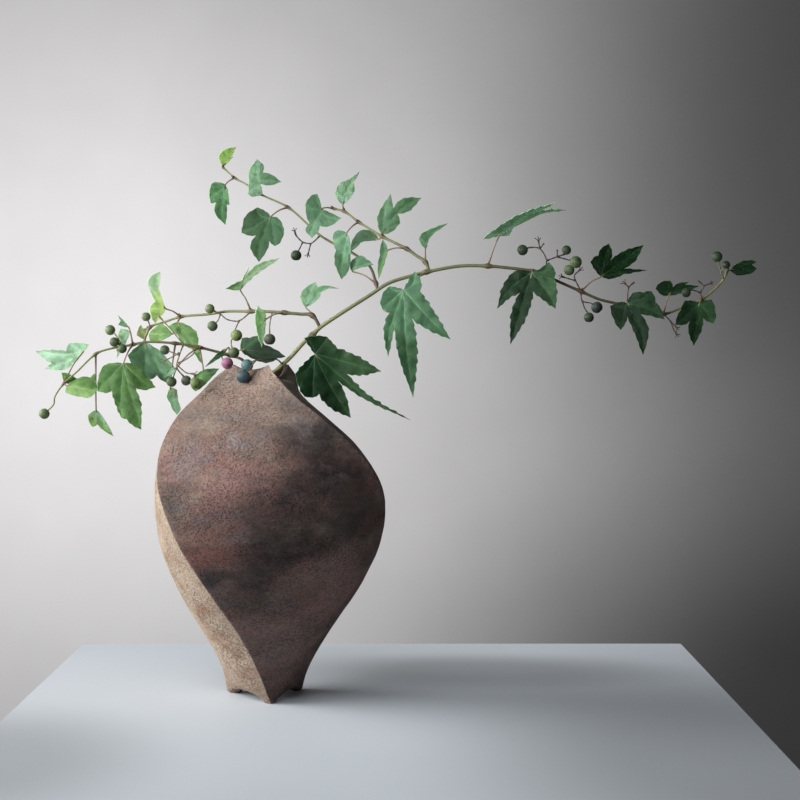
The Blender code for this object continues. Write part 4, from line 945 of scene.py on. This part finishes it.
def section(height, inset=0.0):
    """Points of the three-sided section at a height, worn a little at its corners."""
    corner, turn, bulge, lean = vase_row(height)
    reach = corner - CORNER_INSET * inset
    angles = np.radians(120.0 * np.arange(3) - turn)
    corners = np.column_stack([np.sin(angles), -np.cos(angles)]) * reach
    t = side_shares()[:, None]
    sides = []
    for k in range(3):
        start, end = corners[k], corners[(k + 1) % 3]
        outward = (start + end) / np.linalg.norm(start + end)
        sides.append(start + (end - start) * t + outward * (4 * t * (1 - t) * bulge * reach))
    ring = np.vstack(sides)
    for _ in range(SOFTENING):
        ring = (np.roll(ring, 1, axis=0) + 2 * ring + np.roll(ring, -1, axis=0)) / 4
    return ring + np.array([lean, 0.0])


def along_sides():
    """For every point of a ring: its share along its side, and the side."""
    return np.tile(side_shares(), 3), np.repeat(np.arange(3), SIDE_POINTS)


def foot_heights(lift):
    """Underside of the foot ring: flat at each corner, arched between two corners."""
    t, _ = along_sides()
    share = np.clip((t - FLAT_CORNER) / (1 - 2 * FLAT_CORNER), 0.0, 1.0)
    return FOOT_ARCH * np.sin(np.pi * share) ** 0.5 + lift


def rim_heights(drop):
    t, side = along_sides()
    return VASE_HEIGHT - np.array(RIM_SCOOPS)[side] * 4 * t * (1 - t) - drop


def wall_at(height):
    share = min(max((height - VASE_HEIGHT) / THINNING + 1.0, 0.0), 1.0)
    return WALL + (RIM_WALL - WALL) * share


def ring_at(height, inset, heights=None):
    ring = section(height, inset)
    z = np.full(len(ring), float(height)) if heights is None else heights
    return np.column_stack([ring, z])


def uneven(point):
    """Small bumps and hollows of a hand-built wall, in millimetres."""
    return sum(height * noise.noise(Vector(point) / size) for size, height in UNEVEN)


def make_vase(material):
    r, step = EDGE_ROUND, LIP_STEP * EDGE_ROUND
    rings = [ring_at(RECESS, FOOT_WALL), ring_at(0.0, FOOT_WALL, foot_heights(r)),
             ring_at(0.0, FOOT_WALL - r, foot_heights(0.0)), ring_at(0.0, r, foot_heights(0.0)),
             ring_at(0.0, step, foot_heights(step)), ring_at(0.0, 0.0, foot_heights(r))]
    first_outer = len(rings)
    for height in np.linspace(FIRST_LEVEL, VASE_HEIGHT - RIM_DEPTH, OUTER_RINGS):
        rings.append(ring_at(height, 0.0))
    low, top = rings[-1][:, 2], rim_heights(r)
    for share in np.arange(1, RIM_RINGS + 1) / RIM_RINGS:
        level = VASE_HEIGHT - RIM_DEPTH * (1.0 - share)
        rings.append(ring_at(level, 0.0, low + (top - low) * share))
    last_outer = len(rings)
    for inset, drop in ((step, step), (r, 0.0), (RIM_WALL - r, 0.0), (RIM_WALL - step, step), (RIM_WALL, r)):
        rings.append(ring_at(VASE_HEIGHT, inset, rim_heights(drop)))
    for height in np.linspace(VASE_HEIGHT - RIM_DEPTH, FLOOR_TOP, INNER_RINGS):
        rings.append(ring_at(height, wall_at(height)))
    for i in range(first_outer, last_outer):
        ring = rings[i]
        outward = ring[:, :2] - ring[:, :2].mean(axis=0)
        outward /= np.linalg.norm(outward, axis=1)[:, None]
        ring[:, :2] += outward * np.array([uneven(point) for point in ring])[:, None]
    _, side = along_sides()
    # Mask of the pale side, partly its clay and partly painted light, carried in the speck attribute
    pale = np.tile((side == PALE_AND_LIT_SIDE).astype(float), len(rings))
    points = np.vstack(rings + [rings[0].mean(axis=0)[None], rings[-1].mean(axis=0)[None]])
    shape = Shape()
    faces = ring_faces(len(rings), len(rings[0]))
    shape.add(points * MM, faces, linear("tan"), 0, np.append(pale, [0.0, 0.0]))
    return shape.finish("vase_fine", [material], sharp=70.0)


# Materials

USUAL = (0.3, 0.7)               # most values of a noise lie between these
WHOLE = (0.0, 1.0)               # and all shares between these
# How fine each pattern is: the larger, the more marks in a metre
LEAF_NET = 620.0
LEAF_BLOTCHES = 160.0
LEAF_GRAIN = 900.0
BARK_GRAIN = 700.0
BARK_SPECKS = 1500.0
BERRY_DOTS = 1500.0
BERRY_BLOOM = 330.0
WATER_CLOUDS = 20.0
WATER_RIPPLES = 45.0
WATER_COLOURS = ((222, 236, 232), (206, 226, 218))
TABLE_COLOUR = (198, 205, 212)
BACKDROP_COLOUR = (224, 222, 222)
CLOUDS = 2.5                     # faint changes of shade on table and wall


def new_material(name, roughness):
    material = bpy.data.materials.new(name)
    material.use_nodes = True
    tree = material.node_tree
    shader = tree.nodes["Principled BSDF"]
    shader.inputs["Roughness"].default_value = roughness
    return material, tree, shader


def feed(tree, node, inputs):
    """Give a node its inputs, as numbers, colours or other nodes' outputs."""
    for key, value in inputs.items():
        if isinstance(value, bpy.types.NodeSocket):
            tree.links.new(value, node.inputs[key])
        else:
            node.inputs[key].default_value = value


def add_node(tree, kind, inputs=None, **settings):
    node = tree.nodes.new("ShaderNode" + kind)
    for key, value in settings.items():
        setattr(node, key, value)
    feed(tree, node, inputs or {})
    return node


def object_place(tree):
    return add_node(tree, "TexCoord").outputs["Object"]


def noise_at(tree, place_socket, scale, detail=3.0, roughness=0.55):
    node = add_node(tree, "TexNoise", {"Vector": place_socket, "Scale": scale, "Detail": detail,
                                       "Roughness": roughness})
    return node.outputs["Fac"]


def ranged(tree, value, before, after, easing="LINEAR"):
    """A value carried over from one range to another."""
    limits = zip(("From Min", "From Max", "To Min", "To Max"), before + after)
    node = add_node(tree, "MapRange", {"Value": value, **dict(limits)}, interpolation_type=easing)
    return node.outputs["Result"]


def math_node(tree, operation, first, second):
    return add_node(tree, "Math", {0: first, 1: second}, operation=operation).outputs[0]


def vector_node(tree, operation, first, second):
    return add_node(tree, "VectorMath", {0: first, 1: second}, operation=operation).outputs[0]


def mixed(tree, share, first, second, blend_type="MIX"):
    node = add_node(tree, "Mix", {"Factor": share}, data_type="RGBA", blend_type=blend_type)
    feed(tree, node, {6: first, 7: second})
    return node.outputs[2]


def bumps(tree, height, strength, distance):
    return add_node(tree, "Bump", {"Height": height, "Strength": strength,
                                   "Distance": distance}).outputs["Normal"]


def shaded(tree, colour, share):
    """A colour made darker or lighter by a share, where 1 leaves it as it is."""
    grey = add_node(tree, "CombineColor", {0: share, 1: share, 2: share}).outputs[0]
    return mixed(tree, 1.0, colour, grey, "MULTIPLY")


def tinted(tree, *shares):
    """The colour each point carries, made darker or lighter by one share after another."""
    colour = add_node(tree, "Attribute", attribute_name="tint").outputs["Color"]
    for share in shares:
        colour = shaded(tree, colour, share)
    return colour


def speck_at(tree):
    return add_node(tree, "Attribute", attribute_name="speck").outputs["Fac"]


def leaf_material():
    material, tree, shader = new_material("leaf_green", 0.5)
    where = object_place(tree)
    cells = add_node(tree, "TexVoronoi", {"Vector": where, "Scale": LEAF_NET}, feature="DISTANCE_TO_EDGE")
    net = ranged(tree, cells.outputs["Distance"], (0.0, 0.12), WHOLE)
    blotches = ranged(tree, noise_at(tree, where, LEAF_BLOTCHES), USUAL, (0.84, 1.14))
    fine = noise_at(tree, where, LEAF_GRAIN)
    height = math_node(tree, "ADD", net, math_node(tree, "MULTIPLY", fine, 0.5))
    feed(tree, shader, {
        "Base Color": tinted(tree, blotches, ranged(tree, net, WHOLE, (1.13, 0.98))),
        "Roughness": ranged(tree, fine, USUAL, (0.46, 0.64)), "Specular IOR Level": 0.12,
        "Subsurface Weight": 0.5, "Subsurface Radius": (0.001, 0.0014, 0.0006),
        "Subsurface Scale": 1.0, "Normal": bumps(tree, height, 0.35, 0.00012)})
    return material


def bark_material():
    material, tree, shader = new_material("vine_bark", 0.65)
    where = object_place(tree)
    grain = noise_at(tree, where, BARK_GRAIN, 5.0, 0.7)
    specks = ranged(tree, noise_at(tree, where, BARK_SPECKS, 2.0), (0.62, 0.7), (1.0, 0.6))
    feed(tree, shader, {
        "Base Color": tinted(tree, ranged(tree, grain, USUAL, (0.7, 1.25)), specks),
        "Roughness": ranged(tree, grain, USUAL, (0.5, 0.8)),
        "Normal": bumps(tree, grain, 0.5, 0.0003)})
    return material


def berry_material():
    material, tree, shader = new_material("berry_skin", 0.4)
    where = object_place(tree)
    dots = add_node(tree, "TexVoronoi", {"Vector": where, "Scale": BERRY_DOTS}).outputs["Distance"]
    dark = math_node(tree, "MULTIPLY", ranged(tree, dots, (0.2, 0.32), (1.0, 0.0)), speck_at(tree))
    bloom = ranged(tree, noise_at(tree, where, BERRY_BLOOM), (0.35, 0.65), (0.86, 1.16))
    feed(tree, shader, {
        "Base Color": tinted(tree, bloom, ranged(tree, dark, WHOLE, (1.0, 0.42))),
        "Roughness": ranged(tree, dots, (0.0, 0.6), (0.34, 0.46)), "Specular IOR Level": 0.2,
        "Subsurface Weight": 0.08, "Subsurface Radius": (0.002, 0.002, 0.001),
        "Normal": bumps(tree, dots, 0.12, 0.0002)})
    return material


def water_material():
    material, tree, shader = new_material("clear_water", 0.03)
    where = object_place(tree)
    first, second = (linear(colour) for colour in WATER_COLOURS)
    colour = mixed(tree, noise_at(tree, where, WATER_CLOUDS), first, second)
    feed(tree, shader, {"Base Color": colour, "Transmission Weight": 0.9, "IOR": 1.33,
                        "Normal": bumps(tree, noise_at(tree, where, WATER_RIPPLES, 1.0), 0.1, 0.0004)})
    return material


SPOT_FADE = (0.35, 1.3)          # a spot is full up to the first share of its reach, and gone at the second
STRETCH = (1.0, 1.0, 1.9)        # marks of the clay are longer along the wall than they are high
DRIFT = 34.0                     # the fire marks' outlines wander with this pattern
DRIFT_REACH = (0.06, 0.06, 0.06)   # and this far, in metres, from its least to its greatest value
RAGGED_EDGE = 90.0
STONE_BROWN = (88, 74, 68)
STONE_PINK = (124, 92, 84)
STONE_PATCHES = 17.0
# Clouds over them: scale, least value of the noise that shows, colour
STONE_CLOUDS = ((30.0, 0.48, (136, 118, 106)), (48.0, 0.52, (96, 94, 96)))
SHOULDER = ((0.175, 0.245), (152, 134, 120))   # heights over which it turns paler, in metres, and how pale
# The pale side, partly pale clay and partly painted light where the lamp at the left falls on its lower part:
# its pattern and two colours, and how strongly it shows from one height to another
PALE_CLAY_AND_LIGHT = (40.0, (168, 150, 131), (142, 113, 91))
PALE_AND_LIT_FADES = (((0.16, 0.22), (0.92, 0.2)), ((0.006, 0.034), (0.45, 1.0)))
STONE_GRAIN = 380.0
STONE_PORES = 560.0
STONE_HOLES = 420.0
STONE_DUST = 26.0                # where pores are open and where they are dusted over
STONE_RELIEF = 120.0

# Patches of the firing, the dark ones on the front and right partly painted shade of that side: place on the
# wall in millimetres from the vase's axis, size, colour, strength
FIRE_AND_SHADE_MARKS = [
    ((-20, -70, 204), (26, 26, 12), (150, 145, 146), 0.6),
    ((30, -66, 206), (20, 20, 10), (136, 130, 134), 0.5),
    ((-56, -62, 186), (20, 20, 12), (112, 108, 112), 0.5),
    ((-10, -84, 168), (32, 30, 18), (154, 112, 106), 0.6),
    ((-30, -84, 150), (24, 24, 14), (120, 84, 82), 0.5),
    ((54, -64, 174), (34, 34, 20), (40, 33, 34), 0.95),
    ((42, -56, 196), (30, 36, 17), (40, 35, 35), 0.95),
    ((30, -83, 158), (36, 30, 13), (50, 42, 44), 0.85),
    ((22, -88, 142), (32, 30, 13), (56, 48, 48), 0.8),
    ((74, -50, 146), (36, 36, 26), (60, 50, 48), 0.75),
    ((16, -80, 120), (44, 44, 17), (42, 34, 34), 0.95),
    ((-40, -84, 104), (18, 20, 12), (42, 40, 46), 0.85),
    ((-34, -86, 124), (26, 26, 14), (122, 74, 66), 0.6),
    ((-6, -74, 100), (30, 30, 13), (52, 46, 46), 0.85),
    ((8, -66, 64), (14, 14, 8), (108, 102, 106), 0.5),
    ((30, -62, 58), (18, 18, 10), (142, 100, 92), 0.5),
    ((32, -76, 88), (26, 26, 14), (124, 96, 84), 0.5),
    ((8, -46, 44), (44, 50, 36), (140, 114, 108), 0.6),
    ((4, -48, 34), (18, 18, 9), (112, 106, 106), 0.5),
    ((-6, -46, 30), (8, 8, 5), (150, 82, 62), 0.6),
    ((-24, -30, 12), (22, 26, 22), (112, 88, 74), 0.8),
    ((18, -42, 224), (16, 34, 11), (84, 72, 70), 0.8),
    ((58, -42, 86), (26, 44, 36), (150, 118, 110), 0.8),
    ((50, -46, 207), (28, 30, 13), (44, 38, 38), 0.8),
]


def near_spot(tree, where, middle, reach):
    """One at a spot, falling smoothly to nothing a little beyond its reach."""
    offset = vector_node(tree, "SUBTRACT", where, (np.array(middle) - FRONT_FOOT) * MM)
    scaled = vector_node(tree, "DIVIDE", offset, np.array(reach) * MM)
    away = add_node(tree, "VectorMath", {0: scaled}, operation="LENGTH").outputs["Value"]
    return ranged(tree, away, SPOT_FADE, (1.0, 0.0), "SMOOTHSTEP")


def stoneware_material():
    material, tree, shader = new_material("stoneware", 0.9)
    where = object_place(tree)
    streaked = vector_node(tree, "MULTIPLY", where, STRETCH)
    drift = add_node(tree, "TexNoise", {"Vector": where, "Scale": DRIFT, "Detail": 5.0}).outputs["Color"]
    drift = vector_node(tree, "SUBTRACT", drift, (0.5, 0.5, 0.5))
    shift = vector_node(tree, "MULTIPLY", drift, DRIFT_REACH)
    warped = vector_node(tree, "ADD", where, shift)
    ragged = ranged(tree, noise_at(tree, streaked, RAGGED_EDGE, 6.0, 0.65), (0.36, 0.6), (0.6, 1.0))

    share = ranged(tree, noise_at(tree, streaked, STONE_PATCHES, 4.0), (0.4, 0.62), WHOLE)
    colour = mixed(tree, share, linear(STONE_BROWN), linear(STONE_PINK))
    for scale, low, tone in STONE_CLOUDS:
        share = ranged(tree, noise_at(tree, streaked, scale, 6.0), (low, low + 0.18), (0.0, 0.7))
        colour = mixed(tree, share, colour, linear(tone))
    height = add_node(tree, "SeparateXYZ", {0: where}).outputs[2]
    heights, tone = SHOULDER
    colour = mixed(tree, ranged(tree, height, heights, (0.0, 0.6)), colour, linear(tone))
    # Fire marks; the dark ones at the front and right partly stand in as painted shade
    for middle, reach, mark_and_shade_tone, strength in FIRE_AND_SHADE_MARKS:
        share = math_node(tree, "MULTIPLY", near_spot(tree, warped, middle, reach), strength)
        colour = mixed(tree, math_node(tree, "MULTIPLY", share, ragged), colour, linear(mark_and_shade_tone))
    # The pale side, partly its own clay and partly painted light from the lamp at the left, read from the
    # speck attribute
    pale = speck_at(tree)
    for heights, strengths in PALE_AND_LIT_FADES:
        pale = math_node(tree, "MULTIPLY", pale, ranged(tree, height, heights, strengths))
    scale, sand, clay = PALE_CLAY_AND_LIGHT
    share = ranged(tree, noise_at(tree, streaked, scale, 6.0), (0.46, 0.68), WHOLE)
    colour = mixed(tree, pale, colour, mixed(tree, share, linear(sand), linear(clay)))

    grain = noise_at(tree, where, STONE_GRAIN, 5.0, 0.75)
    colour = shaded(tree, colour, ranged(tree, grain, USUAL, (0.66, 1.34)))
    pores = noise_at(tree, streaked, STONE_PORES, 2.0, 0.6)
    pore = ranged(tree, pores, (0.36, 0.46), (1.0, 0.0))
    crumbs = add_node(tree, "TexVoronoi", {"Vector": where, "Scale": STONE_HOLES})
    hole = ranged(tree, crumbs.outputs["Distance"], (0.1, 0.3), (1.0, 0.0))
    dusty = ranged(tree, noise_at(tree, streaked, STONE_DUST, 3.0), (0.38, 0.62), (0.35, 1.0))
    pit = math_node(tree, "MULTIPLY", math_node(tree, "MAXIMUM", pore, hole), dusty)
    colour = shaded(tree, colour, ranged(tree, pit, WHOLE, (1.0, 0.38)))
    rough = noise_at(tree, streaked, STONE_RELIEF, 6.0, 0.7)
    relief = math_node(tree, "ADD", rough, math_node(tree, "MULTIPLY", grain, 0.6))
    relief = math_node(tree, "SUBTRACT", relief, math_node(tree, "MULTIPLY", pit, 0.8))
    feed(tree, shader, {"Base Color": colour, "Roughness": ranged(tree, grain, USUAL, (0.84, 0.98)),
                        "Normal": bumps(tree, relief, 0.8, 0.0011)})
    return material


# Surroundings, in metres from the vase's axis. Shades are painted shade, darker areas where the room's light
# falls off: middle and reach in millimetres, and how much darker
WALL_PAINTED_SHADE = [((1650, 4000, -1100), (1450, 900, 1050), 0.78), ((1750, 4000, 900), (1250, 900, 1400), 0.62)]
# Painted shade on the table towards its right and at its front left corner, and beside the vase's foot
# painted shade over a worn streak
TABLE_PAINTED_SHADE = [((330, -190, 0), (200, 250, 50), 0.45), ((-180, -200, 0), (130, 150, 50), 0.35),
                ((160, 90, 0), (160, 70, 50), 0.4)]
TABLE_SIDES = (-0.18, 0.35)
TABLE_EDGES = (-0.62, 0.211)     # towards the viewer and away
TABLE_THICKNESS = 0.03
WALL_AWAY = 4.0
WALL_SIDES = (-6.0, 6.0)
WALL_HEIGHTS = (-4.0, 5.0)
# Name, place, aim, width and height, power in watts, spread in degrees, colour
LIGHTS = [("window", (-1.2, 0.0, 0.55), (0.0, 0.0, 0.2), (1.2, 1.0), 11.0, 80.0, (1.0, 0.99, 0.97)),
          ("room", (-0.5, -1.0, 1.6), (0.1, 0.0, 0.25), (1.0, 1.0), 1.6, 50.0, (0.95, 0.97, 1.0)),
          ("leaf_fill", (-0.62, -1.0, 0.46), (0.03, 0.0, 0.325), (0.6, 0.1), 0.45, 24.0, (1.0, 1.0, 1.0)),
          ("wall_glow", (-0.93, 2.0, 0.32), (-0.93, 4.0, 0.32), (0.7, 0.7), 46.0, 180.0, (1.0, 1.0, 1.0))]
DAYLIGHT = (0.80, 0.83, 0.88, 1.0)
DAYLIGHT_STRENGTH = 0.06


def plain_material(name, colour, roughness, painted_shades):
    material, tree, shader = new_material(name, roughness)
    where = object_place(tree)
    share = ranged(tree, noise_at(tree, where, CLOUDS), USUAL, (0.97, 1.03))
    shown = shaded(tree, linear(colour), share)
    # Painted shade: each spot darkens the surface where the room's light falls off
    for middle, reach, strength in painted_shades:
        near = near_spot(tree, where, middle, reach)
        shown = shaded(tree, shown, ranged(tree, near, WHOLE, (1.0, 1.0 - strength)))
    feed(tree, shader, {"Base Color": shown})
    return material


def make_staging(name, corners, faces, material):
    """A plain thing around the object."""
    mesh = bpy.data.meshes.new(name)
    mesh.from_pydata(np.array(corners) - FRONT_FOOT * MM, [], faces)
    mesh.materials.append(material)
    new_object(name, mesh)


def make_table(material):
    """A plain white slab under the vase."""
    (left, right), (near, far) = TABLE_SIDES, TABLE_EDGES
    top = [(left, near, 0.0), (right, near, 0.0), (right, far, 0.0), (left, far, 0.0)]
    low = [(x, y, -TABLE_THICKNESS) for x, y, _ in top]
    faces = [(0, 1, 2, 3), (7, 6, 5, 4), (0, 4, 5, 1), (1, 5, 6, 2), (2, 6, 7, 3), (3, 7, 4, 0)]
    make_staging("table", top + low, faces, material)


def make_wall(material):
    (left, right), (low, high) = WALL_SIDES, WALL_HEIGHTS
    corners = [(x, WALL_AWAY, z) for x, z in ((left, low), (right, low), (right, high), (left, high))]
    make_staging("wall", corners, [(0, 1, 2, 3)], material)


def add_light(name, position, aim, size, power, spread, colour):
    data = bpy.data.lights.new(name, "AREA")
    data.shape = "RECTANGLE"
    data.size, data.size_y = size
    data.energy = power
    data.spread = math.radians(spread)
    data.color = colour
    lamp = new_object(name, data)
    lamp.location = Vector(position)
    lamp.rotation_euler = (Vector(aim) - Vector(position)).to_track_quat("-Z", "Y").to_euler()


def add_camera():
    data = bpy.data.cameras.new("camera")
    data.lens = LENS
    data.sensor_width = SENSOR
    camera = new_object("camera", data)
    camera.location = Vector((EYE - FRONT_FOOT) * MM)
    camera.rotation_euler = (math.radians(90.0 - LOOK_DOWN), 0.0, 0.0)
    bpy.context.scene.camera = camera


def add_surroundings():
    add_camera()
    make_table(plain_material("pale_table", TABLE_COLOUR, 0.6, TABLE_PAINTED_SHADE))
    make_wall(plain_material("pale_wall", BACKDROP_COLOUR, 0.9, WALL_PAINTED_SHADE))
    for light in LIGHTS:
        add_light(*light)
    world = bpy.data.worlds.new("room")
    world.use_nodes = True
    background = world.node_tree.nodes["Background"]
    feed(world.node_tree, background, {"Color": DAYLIGHT, "Strength": DAYLIGHT_STRENGTH})
    bpy.context.scene.world = world
    bpy.context.scene.view_settings.view_transform = "Standard"


def stand_for(piece, node):
    """The fine piece rides with the whole and is shown in place of its solid."""
    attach(piece, "root")
    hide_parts(node)


def main():
    plant = [bark_material(), leaf_material(), berry_material()]
    stand_for(make_vase(stoneware_material()), "vase")
    for shoot in SHOOTS:
        stand_for(make_shoot(shoot, plant), shoot.name)
    for spray in SPRAYS:
        stand_for(make_spray(spray, plant), spray.name)
    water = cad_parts["water"]
    water.data.materials.clear()
    water.data.materials.append(water_material())
    add_surroundings()


main()
